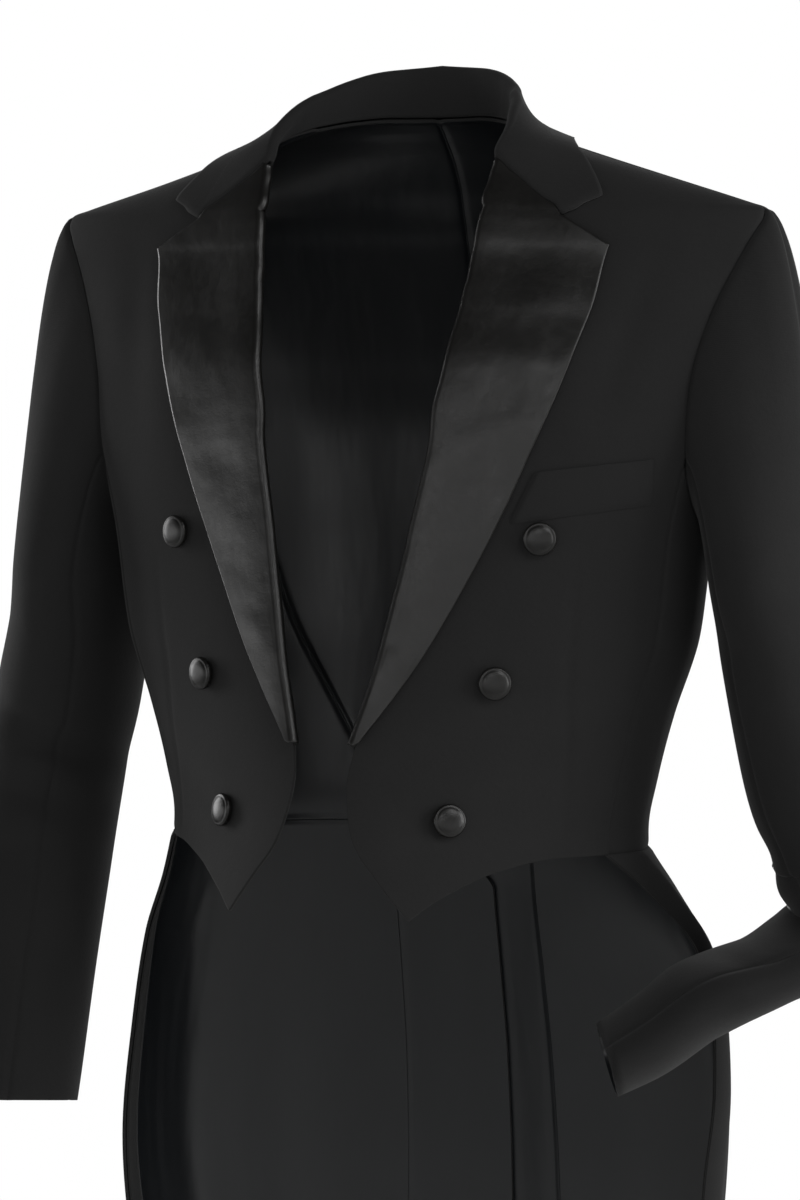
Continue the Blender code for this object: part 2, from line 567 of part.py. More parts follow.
def away_from_fold(line, normal):
    """Directions in the cloth, square to a fold line and towards the open front."""
    return unit(np.cross(normal, np.gradient(line, axis=0)))


def make_lapels(lines):
    """The satin facings, turned over along the roll line and lying on the fronts."""
    roll = lines["roll"]
    edge = spread(on_front(LAPEL_EDGE), ROLL_ROWS)
    gorge = on_front(np.array([ROLL_LINE[-1], NOTCH, LAPEL_EDGE[-1]]))
    top = join(spread(gorge[:2], GORGE_COLUMNS), spread(gorge[1:], LAPEL_COLUMNS - GORGE_COLUMNS))
    bottom = spread(np.stack([roll[0], edge[0]]), LAPEL_COLUMNS)
    grid = coons(roll, edge, bottom, top)
    base, normal = body(grid[..., 0], grid[..., 1]), body_normal(grid[..., 0], grid[..., 1])
    distance = np.linalg.norm(base - base[:, :1], axis=-1)
    inward = away_from_fold(base[:, 0], normal[:, 0])
    grid = turned(base[:, 0] + inward * FOLD_SEAM_GAP, inward, normal[:, 0], base, normal, distance,
                  np.zeros((len(base), 1)), FALL_POWER)
    both("lapel", pull_in(grid, top_gap=BENT_SEAM_GAP), CLOTH, "satin")


def make_collar(lines):
    """The collar, in one piece round the neck: its stand, its fold and its fall."""
    count = 2 * NECK_COLUMNS
    neck = join(lines["front_neck"], lines["back_neck"][::-1])
    edge = spread(np.concatenate([on_front(COLLAR_CORNER), from_above(FALL_EDGE)]), count)
    gorge = on_front(np.array([ROLL_LINE[-1], NOTCH, NOTCH_EDGE, COLLAR_CORNER]))
    side = join(spread(gorge[:2], GORGE_COLUMNS), spread(gorge[1:], FALL_ROWS - GORGE_COLUMNS))
    heights = np.linspace(neck[-1, 1], edge[-1, 1], FALL_ROWS + 1)
    centre = np.stack([np.full(FALL_ROWS + 1, math.pi), heights], -1)
    borders = [body(border[:, 0], border[:, 1])[:, :2] for border in (neck, edge, side, centre)]
    grid = coons(*borders)
    grid = from_above(grid.reshape(-1, 2)).reshape(grid.shape)
    base, normal = body(grid[..., 0], grid[..., 1]), body_normal(grid[..., 0], grid[..., 1])
    base[-1, :, 0] = 0
    normal[-1, :, 0] = 0
    normal = unit(normal)
    distance = np.linalg.norm(base - base[:, :1], axis=-1)
    share = np.linspace(0, 1, count + 1)
    inward = away_from_fold(base[:, 0], normal[:, 0])
    upright = smooth(UPRIGHT[:, 0], UPRIGHT[:, 1], share)[:, None]
    rise = unit(inward * (1 - upright) + STAND_LEANS * upright)
    out = unit(normal[:, 0] - np.sum(normal[:, 0] * rise, -1, keepdims=True) * rise)
    stand = smooth(FOLD_HEIGHT[:, 0], FOLD_HEIGHT[:, 1], share)[:, None]
    start = base[:, 0] + rise * (FOLD_SEAM_GAP + upright * (STAND_SEAM_GAP - FOLD_SEAM_GAP))
    power = smooth(FALL_STEEPNESS[:, 0], FALL_STEEPNESS[:, 1], share)[:, None]
    half = turned(start, rise, out, base, normal, distance, stand, power)
    other = half[:-1][::-1] * MIRROR
    sheet("collar", pull_in(np.concatenate([half, other]), BENT_SEAM_GAP, BENT_SEAM_GAP), CLOTH, "wool")


def make_welt():
    """The chest pocket's welt, lying on the left front."""
    columns = np.linspace(0, 1, WELT_COLUMNS + 1)[None, :, None]
    rows = np.linspace(0, 1, WELT_ROWS + 1)[:, None, None]
    bottom = WELT_BOTTOM[0] + (WELT_BOTTOM[1] - WELT_BOTTOM[0]) * columns
    top = WELT_TOP[0] + (WELT_TOP[1] - WELT_TOP[0]) * columns
    flat = bottom + (top - bottom) * rows
    turn = turn_at(flat[..., 0], flat[..., 1])
    height = (CLOTH + WELT_THICKNESS) / 2 + LAYER_GAP
    points = body(turn, flat[..., 1]) + body_normal(turn, flat[..., 1]) * height
    sheet("chest_welt", points, WELT_THICKNESS, "wool")


def add_button(name, turn, height, gap, mirrored):
    """A satin-covered button: a domed profile turned round the cloth's normal."""
    mesh = bpy.data.meshes.new(name)
    edges = [(k, k + 1) for k in range(len(BUTTON_PROFILE) - 1)]
    mesh.from_pydata([(r * BUTTON_RADIUS, 0.0, z * BUTTON_HEIGHT) for r, z in BUTTON_PROFILE], edges, [])
    made = add_object(name, mesh, "satin")
    spin = made.modifiers.new("turn", "SCREW")
    spin.steps = spin.render_steps = BUTTON_SIDES
    spin.use_merge_vertices = True
    spin.merge_threshold = BUTTON_MERGE
    spin.use_normal_calculate = True
    flip = MIRROR if mirrored else 1.0
    normal = body_normal(turn, height) * flip
    seat = body(turn, height) * flip + normal * (CLOTH / 2 + gap)
    made.rotation_mode = "QUATERNION"
    made.location = seat.tolist()
    made.rotation_quaternion = to_quaternion(normal)


def to_quaternion(normal):
    """The rotation that turns +Z to a normal."""
    axis = np.cross([0.0, 0.0, 1.0], normal)
    angle = math.atan2(np.linalg.norm(axis), normal[2])
    axis = unit(axis) * math.sin(angle / 2)
    return (math.cos(angle / 2), *axis.tolist())


def make_buttons():
    """Three buttons on each front and one at the top of each tail."""
    for side, mirrored in (("L", False), ("R", True)):
        for number, (across, height) in enumerate(BUTTONS, 1):
            turn = turn_at(across, height)
            add_button(f"front_button_{side}{number}", turn, height, BUTTON_GAP, mirrored)
        across, height = BACK_BUTTON
        turn = turn_at(across, height, back=True)
        add_button("back_button_" + side, turn, height, BACK_BUTTON_GAP, mirrored)


for old in list(bpy.data.objects):
    bpy.data.objects.remove(old)
coat = bpy.data.collections.new("white_tie_tailcoat")
bpy.context.scene.collection.children.link(coat)

seams = pattern()
make_fronts(seams)
make_side_bodies(seams)
make_backs(seams)
make_tails(seams)
make_sleeves()
make_lapels(seams)
make_collar(seams)
make_welt()
make_buttons()
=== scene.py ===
"""A white tie tailcoat, as worn: matte black wool, satin lapels and buttons, satin-lined tails.

Metres, +Z up, the coat's front faces -Y and the wearer's left is +X, as in the frame.
"""
import math

import bpy
import numpy as np
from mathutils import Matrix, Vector


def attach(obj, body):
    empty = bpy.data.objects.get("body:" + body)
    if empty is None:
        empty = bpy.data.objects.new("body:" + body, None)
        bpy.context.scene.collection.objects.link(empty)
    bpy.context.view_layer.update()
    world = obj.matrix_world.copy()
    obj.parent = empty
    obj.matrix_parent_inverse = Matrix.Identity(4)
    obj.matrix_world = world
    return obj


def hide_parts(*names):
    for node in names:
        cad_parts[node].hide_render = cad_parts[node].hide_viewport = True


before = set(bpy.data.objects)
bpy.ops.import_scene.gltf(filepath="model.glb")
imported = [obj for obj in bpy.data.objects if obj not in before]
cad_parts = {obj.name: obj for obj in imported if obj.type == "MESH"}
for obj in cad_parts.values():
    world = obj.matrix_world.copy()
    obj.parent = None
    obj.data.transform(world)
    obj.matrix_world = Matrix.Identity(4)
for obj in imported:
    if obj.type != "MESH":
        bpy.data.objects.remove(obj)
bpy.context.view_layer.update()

# Fronts: two panels of black wool twill, cut to the waist and ending in points, that curve from the roll line
# round to the side seam. They are canvassed, so they lie smooth, with a dart under the chest and soft drag lines.
CLOTH = 0.0020
SEAM_GAP = 0.0002
SEAM_DIP = 0.0009
SEAM_DIP_WIDTH = 0.0024
RING_COLUMNS = ("height", "half_width", "side_y", "front_depth", "front_power", "back_depth", "back_power")
RINGS = np.array([
    (0.006, 0.046, 0.002, 0.030, 2.4, 0.036, 2.2),
    (-0.002, 0.066, 0.002, 0.038, 2.5, 0.046, 2.2),
    (-0.008, 0.082, 0.001, 0.043, 2.5, 0.053, 2.1),
    (-0.018, 0.112, 0.000, 0.049, 2.3, 0.064, 2.0),
    (-0.036, 0.170, -0.003, 0.054, 1.7, 0.079, 1.8),
    (-0.0525, 0.2240, -0.0080, 0.0580, 1.45, 0.0900, 1.7),
    (-0.0560, 0.2345, -0.0085, 0.0585, 1.44, 0.0915, 1.7),
    (-0.0640, 0.2385, -0.0100, 0.0600, 1.42, 0.0960, 1.7),
    (-0.077, 0.2385, -0.012, 0.062, 1.4, 0.102, 1.7),
    (-0.117, 0.230, -0.012, 0.071, 1.65, 0.118, 1.8),
    (-0.152, 0.221, -0.012, 0.084, 1.72, 0.127, 1.9),
    (-0.198, 0.209, -0.012, 0.089, 1.95, 0.133, 2.0),
    (-0.250, 0.197, -0.013, 0.095, 1.85, 0.131, 2.0),
    (-0.313, 0.189, -0.013, 0.107, 1.65, 0.122, 2.0),
    (-0.362, 0.173, -0.013, 0.117, 1.55, 0.111, 2.0),
    (-0.400, 0.163, -0.013, 0.128, 1.45, 0.103, 2.0),
    (-0.435, 0.157, -0.013, 0.141, 1.4, 0.098, 2.0),
    (-0.480, 0.162, -0.013, 0.155, 1.4, 0.102, 2.0),
    (-0.540, 0.173, -0.012, 0.156, 1.6, 0.114, 2.0),
    (-0.600, 0.182, -0.010, 0.156, 1.8, 0.124, 2.0),
    (-0.680, 0.187, -0.008, 0.156, 1.9, 0.130, 2.0),
    (-0.800, 0.188, -0.006, 0.156, 2.0, 0.132, 2.0),
    (-1.000, 0.184, -0.004, 0.156, 2.0, 0.130, 2.0),
])
# Pattern lines seen from straight ahead: distance from the centre and height
EDGE_BELOW_BREAK = np.array([(0.0590, -0.4770), (0.0400, -0.4530), (0.0255, -0.4330), (0.0195, -0.4130),
                             (0.0175, -0.3930), (0.0200, -0.3760)])
ROLL_LINE = np.array([(0.0200, -0.3760), (0.0331, -0.3272), (0.0425, -0.2806), (0.0533, -0.2240),
                      (0.0590, -0.1838), (0.0641, -0.1519), (0.0672, -0.1300), (0.0699, -0.1116),
                      (0.0722, -0.0930), (0.0741, -0.0748), (0.0751, -0.0640), (0.0758, -0.0530),
                      (0.0764, -0.0445), (0.0771, -0.0360), (0.0778, -0.0275)])
FRONT_HEM = np.array([(0.0590, -0.4770), (0.0730, -0.4650), (0.1001, -0.4500), (0.1260, -0.4440),
                      (0.1465, -0.4440)])
# The neck seam seen from above, from the roll line to the shoulder seam
NECK_FRONT = np.array([(0.0795, -0.0405), (0.0806, -0.0355), (0.0803, -0.0291), (0.0785, -0.0230),
                       (0.0754, -0.0152), (0.0713, -0.0069), (0.0655, 0.0012)])
ARMHOLE_CENTRE = -0.1500
ARMHOLE_HALF_HEIGHT = 0.0955
ARMHOLE_FRONT_TURN = math.radians(24)
ARMHOLE_BACK_TURN = math.radians(30)
SIDE_SEAM_AT = 7 / 20
BACK_SEAM_AT = 16 / 20
UNDER_SLEEVE_END_AT = 13 / 20
FRONT_ROWS = 150
FRONT_COLUMNS = 76
# Soft troughs (+) and ridges (-): from across and height to across and height, width, depth
FRONT_DART = (0.1395, -0.268, 0.1270, -0.435, 0.0022, 0.0011)
FRONT_CREASES_L = np.array([
    FRONT_DART,
    (0.176, -0.085, 0.150, -0.190, 0.013, 0.0016),
    (0.205, -0.120, 0.182, -0.215, 0.012, -0.0012),
    (0.170, -0.300, 0.080, -0.360, 0.016, 0.0011),
    (0.160, -0.350, 0.060, -0.405, 0.014, -0.0009),
    (0.120, -0.400, 0.050, -0.440, 0.011, 0.0008),
    (0.175, -0.235, 0.120, -0.262, 0.012, 0.0008),
])
FRONT_CREASES_R = np.array([
    FRONT_DART,
    (0.170, -0.075, 0.158, -0.200, 0.014, 0.0014),
    (0.200, -0.130, 0.176, -0.230, 0.011, -0.0010),
    (0.175, -0.320, 0.075, -0.350, 0.015, 0.0012),
    (0.150, -0.365, 0.050, -0.415, 0.013, -0.0010),
    (0.110, -0.410, 0.045, -0.430, 0.010, 0.0007),
])
MIRROR = np.array([-1.0, 1.0, 1.0])


def smooth(knots, values, at):
    """A curve through the values that never overshoots them: cubic pieces with limited slopes."""
    order = np.argsort(knots)
    x, y = np.asarray(knots, float)[order], np.asarray(values, float)[order]
    steps = np.diff(x)
    slopes = np.diff(y) / steps
    ends = np.empty(len(x))
    ends[0], ends[-1] = slopes[0], slopes[-1]
    before, after = slopes[:-1], slopes[1:]
    same_way = before * after > 0
    mean = 2 * before * after / np.where(same_way, before + after, 1.0)
    ends[1:-1] = np.where(same_way, mean, 0.0)
    at = np.clip(at, x[0], x[-1])
    i = np.clip(np.searchsorted(x, at, side="right") - 1, 0, len(steps) - 1)
    u = (at - x[i]) / steps[i]
    v = 1 - u
    return (y[i] * (1 + 2 * u) * v * v + y[i + 1] * (1 + 2 * v) * u * u
            + steps[i] * u * v * (ends[i] * v - ends[i + 1] * u))


def ring(column, height):
    """One column of the ring table at any height."""
    return smooth(RINGS[:, 0], RINGS[:, RING_COLUMNS.index(column)], height)


def half_ring(front, height):
    """Depth and power of a ring's front or back half."""
    depth = np.where(front, ring("front_depth", height), ring("back_depth", height))
    power = np.where(front, ring("front_power", height), ring("back_power", height))
    return depth, power


def body(turn, height):
    """Body points: half_width * sin(turn)^(2/power) across, depth * cos(turn)^(2/power) forward or back."""
    turn, height = np.broadcast_arrays(np.asarray(turn, float), np.asarray(height, float))
    side, ahead = np.sin(turn), np.cos(turn)
    depth, power = half_ring(ahead > 0, height)
    x = ring("half_width", height) * np.sign(side) * np.abs(side) ** (2 / power)
    y = ring("side_y", height) - depth * np.sign(ahead) * np.abs(ahead) ** (2 / power)
    return np.stack([x, y, height], -1)


def turn_at(across, height, back=False):
    """The turn at which a ring is this far from the centre: the inverse of body's first coordinate."""
    power = ring("back_power" if back else "front_power", height)
    share = np.clip(np.asarray(across) / ring("half_width", height), 0, 1)
    turn = np.arcsin(share ** (power / 2))
    return math.pi - turn if back else turn


def on_front(table):
    """A front pattern line as pairs of turn and height."""
    table = np.atleast_2d(table)
    return np.stack([turn_at(table[:, 0], table[:, 1]), table[:, 1]], -1)


def from_above(table):
    """Turn and height of the body's upper surface under places seen from above, found by halving steps."""
    across, depth = np.asarray(table, float).T
    low, high = np.full(len(across), -0.110), np.full(len(across), RINGS[0, 0])
    for _ in range(40):
        height = (low + high) / 2
        ahead = ring("side_y", height) - depth
        reach, power = half_ring(ahead > 0, height)
        outside = (across / ring("half_width", height)) ** power + (np.abs(ahead) / reach) ** power > 1
        low, high = np.where(outside, low, height), np.where(outside, height, high)
    turn = np.arctan2((across / ring("half_width", height)) ** (power / 2),
                      np.sign(ahead) * (np.abs(ahead) / reach) ** (power / 2))
    return np.stack([turn, height], -1)


def unit(v):
    """Vectors of length one."""
    return v / np.maximum(np.linalg.norm(v, axis=-1, keepdims=True), 1e-12)


def resample(curve, at):
    """A smooth curve through the rows of a table, at shares of its length from 0 to 1."""
    curve = np.asarray(curve, float)
    lengths = np.concatenate([[0], np.cumsum(np.linalg.norm(np.diff(curve, axis=0), axis=1))])
    return np.stack([smooth(lengths / lengths[-1], curve[:, k], at) for k in range(curve.shape[1])], -1)


def line(curve):
    """A function of share that runs at an even pace on the body along a table's smooth curve."""
    dense = resample(curve, np.linspace(0, 1, 401))
    points = body(dense[:, 0], dense[:, 1])
    lengths = np.concatenate([[0], np.cumsum(np.linalg.norm(np.diff(points, axis=0), axis=1))])
    return lambda at: np.stack([np.interp(np.asarray(at) * lengths[-1], lengths, dense[:, k]) for k in (0, 1)], -1)


def chain(*parts):
    """A function of share along lines end to end, each of which takes as many rows as it is given."""
    ends = np.cumsum([rows for _, rows in parts])

    def run(at):
        place = np.asarray(at, float) * ends[-1]
        found = np.zeros((len(place), 2))
        for (piece, rows), end in zip(parts, ends):
            inside = (place >= end - rows - 1e-9) & (place <= end + 1e-9)
            found[inside] = piece(np.clip((place[inside] - end + rows) / rows, 0, 1))
        return found

    return run


def armhole(start, end):
    """A function of share along the armhole's oval, from one share of its way round to another."""
    def run(at):
        angle = 2 * math.pi * (start + (end - start) * np.asarray(at, float))
        half_turn = np.where(np.sin(angle) > 0, -ARMHOLE_FRONT_TURN, -ARMHOLE_BACK_TURN)
        return np.stack([math.pi / 2 + half_turn * np.sin(angle),
                         ARMHOLE_CENTRE + ARMHOLE_HALF_HEIGHT * np.cos(angle)], -1)

    return run


def crowded(count, crowd=0.80):
    """Shares from 0 to 1 that crowd together at both ends: t - crowd * sin(2 pi t) / (2 pi)."""
    t = np.linspace(0, 1, count + 1)
    return t - crowd * np.sin(2 * math.pi * t) / (2 * math.pi)


def coons(left, right, bottom, top, rows_at, columns_at, top_power=1):
    """A grid between four borders: the two straight blends between facing borders, less the blend of corners."""
    rows = (rows_at ** top_power)[:, None, None]
    columns = columns_at[None, :, None]
    across = (1 - columns) * left(rows_at)[:, None] + columns * right(rows_at)[:, None]
    low, high = bottom(columns_at), top(columns_at)
    up = (1 - rows) * low[None] + rows * high[None]
    corners = ((1 - rows) * ((1 - columns) * low[0] + columns * low[-1])
               + rows * ((1 - columns) * high[0] + columns * high[-1]))
    return across + up - corners


def creases(across, along, table):
    """Sum of soft troughs: depth * bell of the distance to each line, fading to nothing at the line's ends."""
    total = np.zeros(np.broadcast(across, along).shape)
    for x0, y0, x1, y1, width, depth in table:
        dx, dy = x1 - x0, y1 - y0
        share = np.clip(((across - x0) * dx + (along - y0) * dy) / (dx * dx + dy * dy), 0, 1)
        away = np.hypot(across - x0 - share * dx, along - y0 - share * dy)
        total += depth * np.exp(-(away / width) ** 2) * np.sin(math.pi * (0.08 + 0.84 * share))
    return total


def lengths_of(points, axis):
    """Distance along each grid line from its first point."""
    steps = np.linalg.norm(np.diff(points, axis=axis), axis=-1)
    start = np.zeros_like(np.take(steps, [0], axis=axis))
    return np.concatenate([start, np.cumsum(steps, axis=axis)], axis)


def normals_of(points):
    """The cross product of a grid's column and row directions, at length one."""
    return unit(np.cross(np.gradient(points, axis=1), np.gradient(points, axis=0)))


def sewn(points, seams=(), trough=0.0, faces_out=True):
    """Presses seams into a grid: its borders dip by a bell of the distance to them, and troughs are pushed in."""
    along, across = lengths_of(points, 0), lengths_of(points, 1)
    away = {"bottom": along, "top": along[-1:] - along, "left": across, "right": across[:, -1:] - across}
    push = np.asarray(trough) + sum(SEAM_DIP * np.exp(-(away[s] / SEAM_DIP_WIDTH) ** 2) for s in seams)
    way = -1.0 if faces_out else 1.0
    return points + normals_of(points) * (way * push)[..., None]


def cloth(name, points, thickness, outside, inside=None, faces_out=True, mirrored=False):
    """A wall of cloth on a grid of points, with a UV map in metres of cloth and its inside in its own material."""
    points = points * MIRROR if mirrored else points
    rows, columns = points.shape[:2]
    index = np.arange(rows * columns).reshape(rows, columns)
    corners = [index[:-1, :-1], index[:-1, 1:], index[1:, 1:], index[1:, :-1]]
    if mirrored == faces_out:
        corners.reverse()
    faces = np.stack(corners, -1).reshape(-1, 4)
    mesh = bpy.data.meshes.new(name)
    mesh.from_pydata(points.reshape(-1, 3), [], faces)
    flat = np.stack([lengths_of(points, 1), lengths_of(points, 0)], -1).reshape(-1, 2)
    mesh.uv_layers.new(name="cloth").data.foreach_set("uv", flat[faces.ravel()].ravel())
    mesh.materials.append(outside)
    mesh.materials.append(inside or outside)
    mesh.shade_smooth()
    made = bpy.data.objects.new(name, mesh)
    bpy.context.scene.collection.objects.link(made)
    wall = made.modifiers.new("wall", "SOLIDIFY")
    wall.thickness = thickness
    wall.offset = 0.0
    wall.material_offset = 1
    return made


def sewn_in(piece, nodes):
    """The piece stands for its solids, which it hides, and rides with the coat."""
    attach(piece, "root")
    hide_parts(*nodes)


class Value:
    """A shader socket: arithmetic on it adds Math nodes, and node() adds any other node."""

    def __init__(self, tree, socket=None):
        self.tree = tree
        self.socket = socket

    def node(self, kind, settings=None, sockets=None, output=0):
        """Adds a node: its type, its settings and a ramp's stops, then the values or links of its sockets."""
        made = self.tree.nodes.new("ShaderNode" + kind)
        for key, value in (settings or {}).items():
            if key == "stops":
                for stop, (place, colour) in zip(made.color_ramp.elements, value):
                    stop.position = place
                    stop.color = colour
            else:
                setattr(made, key, value)
        for key, value in (sockets or {}).items():
            if isinstance(value, Value):
                self.tree.links.new(value.socket, made.inputs[key])
            else:
                made.inputs[key].default_value = value
        return Value(self.tree, made.outputs[output])

    def math(self, operation, first, second=0.0):
        return self.node("Math", {"operation": operation}, {0: first, 1: second})

    def __add__(self, other):
        return self.math("ADD", self, other)

    __radd__ = __add__

    def __mul__(self, other):
        return self.math("MULTIPLY", self, other)

    __rmul__ = __mul__

    def __sub__(self, other):
        return self.math("SUBTRACT", self, other)

    def __rsub__(self, other):
        return self.math("SUBTRACT", other, self)

    def __pow__(self, other):
        return self.math("POWER", self, other)

    def into(self, shader, name):
        """Links this value to a socket of the shader."""
        self.tree.links.new(self.socket, shader.inputs[name])


def finish(name, constants):
    """A new material with its Principled shader's constants set: the shader and a starting value."""
    made = bpy.data.materials.new(name)
    made.use_nodes = True
    shader = made.node_tree.nodes["Principled BSDF"]
    for key, value in constants.items():
        shader.inputs[key].default_value = value
    return made, shader, Value(made.node_tree)


def noise(start, place, scale, detail=3.0, roughness=0.55, stretch=(1.0, 1.0, 1.0)):
    """Noise from 0 to 1 over a place, finer with a larger scale, and drawn out along an axis by a small stretch."""
    moved = start.node("Mapping", None, {"Vector": place, "Scale": stretch})
    return start.node("TexNoise", None, {"Vector": moved, "Scale": scale, "Detail": detail, "Roughness": roughness})


WOOL_DARK = (0.0090, 0.0090, 0.0092, 1.0)
WOOL_LIGHT = (0.0150, 0.0150, 0.0149, 1.0)
TWILL_PITCH = 0.0011


def make_wool():
    """Matte wool: a fine diagonal twill, short fuzz and a dye that varies a little over the cloth."""
    made, shader, start = finish("black_wool", {"Specular IOR Level": 0.22, "Sheen Weight": 0.05,
                                                "Sheen Roughness": 0.45})
    place = start.node("TexCoord", None, None, "Object")
    flat = start.node("UVMap", {"uv_map": "cloth"})
    u = start.node("SeparateXYZ", None, {0: flat}, "X")
    v = start.node("SeparateXYZ", None, {0: flat}, "Y")
    wale = start.math("SINE", (u + v * 1.6) * (2 * math.pi / TWILL_PITCH))
    pick = start.math("SINE", (u - v) * (2 * math.pi / (TWILL_PITCH * 0.62)))
    weave = wale * 0.35 + pick * 0.15 + 0.5
    fuzz = noise(start, place, 900.0, 2.0, 0.7)
    cloud = noise(start, place, 26.0, 4.0, 0.6)
    speck = noise(start, place, 330.0, 2.0, 0.6)
    shade = cloud * 0.55 + speck * 0.30 + weave * 0.15
    start.node("Mix", {"data_type": "RGBA"}, {"Factor": shade, 6: WOOL_DARK, 7: WOOL_LIGHT},
               "Result").into(shader, "Base Color")
    (0.80 + fuzz * 0.16).into(shader, "Roughness")
    soft = start.node("Bump", None, {"Strength": 0.35, "Distance": 0.0009, "Height": cloud + speck * 0.35})
    fine = start.node("Bump", None, {"Strength": 0.35, "Distance": 0.00012, "Height": weave + fuzz * 0.6,
                                     "Normal": soft})
    fine.into(shader, "Normal")
    return made


LINING_DARK = (0.0022, 0.0028, 0.0036, 1.0)
LINING_LIGHT = (0.0045, 0.0056, 0.0070, 1.0)


def make_lining():
    """Lining satin: thin, very dark and shiny, with small soft puckers along the grain."""
    made, shader, start = finish("black_lining_satin", {"Specular IOR Level": 0.42})
    place = start.node("TexCoord", None, None, "Object")
    pucker = noise(start, place, 30.0, 2.0, 0.5, (1.8, 1.8, 0.5))
    grain = noise(start, place, 700.0, 2.0, 0.6, (1.0, 1.0, 0.1))
    start.node("Mix", {"data_type": "RGBA"}, {"Factor": pucker, 6: LINING_DARK, 7: LINING_LIGHT},
               "Result").into(shader, "Base Color")
    (0.32 + grain * 0.14).into(shader, "Roughness")
    start.node("Bump", None, {"Strength": 0.4, "Distance": 0.0012, "Height": pucker + grain * 0.03}).into(
        shader, "Normal")
    return made


wool = make_wool()
lining_satin = make_lining()

roll_line = line(on_front(ROLL_LINE))
neck_points = from_above(NECK_FRONT)
front_neck = line(np.concatenate([on_front(ROLL_LINE[-1:]), neck_points]))
waist_side = on_front(FRONT_HEM)[-1:]
side_seam = line(np.concatenate([waist_side, armhole(0, 1)([SIDE_SEAM_AT])]))
shoulder_seam = line(np.concatenate([neck_points[-1:], armhole(0, 1)([0.0])]))
front_left = chain((line(on_front(EDGE_BELOW_BREAK)), 3), (roll_line, 14), (front_neck, 5))
front_right = chain((side_seam, 15), (armhole(SIDE_SEAM_AT, 0.0), 7))
front_grid = coons(front_left, front_right, line(on_front(FRONT_HEM)), shoulder_seam,
                   crowded(FRONT_ROWS), crowded(FRONT_COLUMNS))
front_points = body(front_grid[..., 0], front_grid[..., 1])
for side, table in (("L", FRONT_CREASES_L), ("R", FRONT_CREASES_R)):
    trough = creases(front_points[..., 0], front_points[..., 2], table)
    points = sewn(front_points, ("top", "right"), trough)
    front = cloth("front_cloth_" + side, points, CLOTH, wool, lining_satin, mirrored=side == "R")
    sewn_in(front, ["front_" + side])

# Side bodies: the narrow panels under the arms, sewn between the fronts and the backs, of the same wool.
SIDE_ROWS = 90
SIDE_COLUMNS = 44
WAIST = -0.4440
BACK_SEAM_WAIST = 0.0480
BACK_SEAM_TURNS = np.array([(math.radians(142), -0.330), (math.radians(131), -0.230)])
SIDE_CREASES = np.array([
    (0.150, -0.300, 0.170, -0.250, 0.012, 0.0010),
    (0.145, -0.390, 0.110, -0.360, 0.012, -0.0010),
    (0.120, -0.410, 0.150, -0.420, 0.010, 0.0009),
])
seam_waist = np.array([[turn_at(BACK_SEAM_WAIST, WAIST, back=True), WAIST]])
back_seam = line(np.concatenate([seam_waist, BACK_SEAM_TURNS, armhole(0, 1)([BACK_SEAM_AT])]))
side_grid = coons(side_seam, back_seam, line(np.concatenate([waist_side, seam_waist])),
                  armhole(SIDE_SEAM_AT, BACK_SEAM_AT), crowded(SIDE_ROWS), crowded(SIDE_COLUMNS))
side_points = body(side_grid[..., 0], side_grid[..., 1])
for side in ("L", "R"):
    trough = creases(side_points[..., 0], side_points[..., 2], SIDE_CREASES)
    points = sewn(side_points, ("bottom", "top", "left", "right"), trough)
    side_body = cloth("side_body_cloth_" + side, points, CLOTH, wool, lining_satin, mirrored=side == "R")
    sewn_in(side_body, ["side_body_" + side])

# Backs: the two halves of the back, each in one piece with its tail's centre strip. They are joined down the
# centre seam to the waist, and lap there for the vent, the left over the right.
HEM = -1.0000
BACK_SEAM_HEM = 0.0620
TAIL_HEIGHTS = np.array([-1.000, -0.900, -0.800, -0.700, -0.620, -0.560, -0.520, -0.500, -0.480, -0.462, WAIST])
VENT_LAP = 0.018
VENT_TOP = WAIST - 0.020
VENT_EASE = 0.020
VENT_LIFT_EDGE = 0.044
VENT_LIFT_EASE = 0.014
LAYER_GAP = 0.0004
BACK_TOP_POWER = 8
BACK_ROWS = 200
BACK_COLUMNS = 60
NECK_BACK = np.array([(0.0655, 0.0012), (0.0520, 0.0190), (0.0290, 0.0340), (0.0, 0.0400)])
BACK_CREASES = np.array([
    (0.150, -0.120, 0.130, -0.260, 0.014, 0.0015),
    (0.170, -0.140, 0.150, -0.250, 0.010, -0.0010),
    (0.090, -0.370, 0.010, -0.400, 0.014, 0.0011),
    (0.070, -0.400, 0.005, -0.425, 0.010, -0.0009),
    (0.060, -0.055, 0.010, -0.050, 0.010, 0.0009),
    (0.040, -0.520, 0.050, -0.900, 0.012, 0.0012),
])


def tail_height(share):
    """Height at a share of the tail's rows."""
    return np.interp(np.asarray(share) * (len(TAIL_HEIGHTS) - 1), np.arange(len(TAIL_HEIGHTS)), TAIL_HEIGHTS)


def tail_seam(share):
    """The seam between a back's centre strip and the tail skirt, as turn and height."""
    height = tail_height(share)
    across = np.interp(height, [HEM, WAIST], [BACK_SEAM_HEM, BACK_SEAM_WAIST])
    return np.stack([turn_at(across, height, back=True), height], -1)


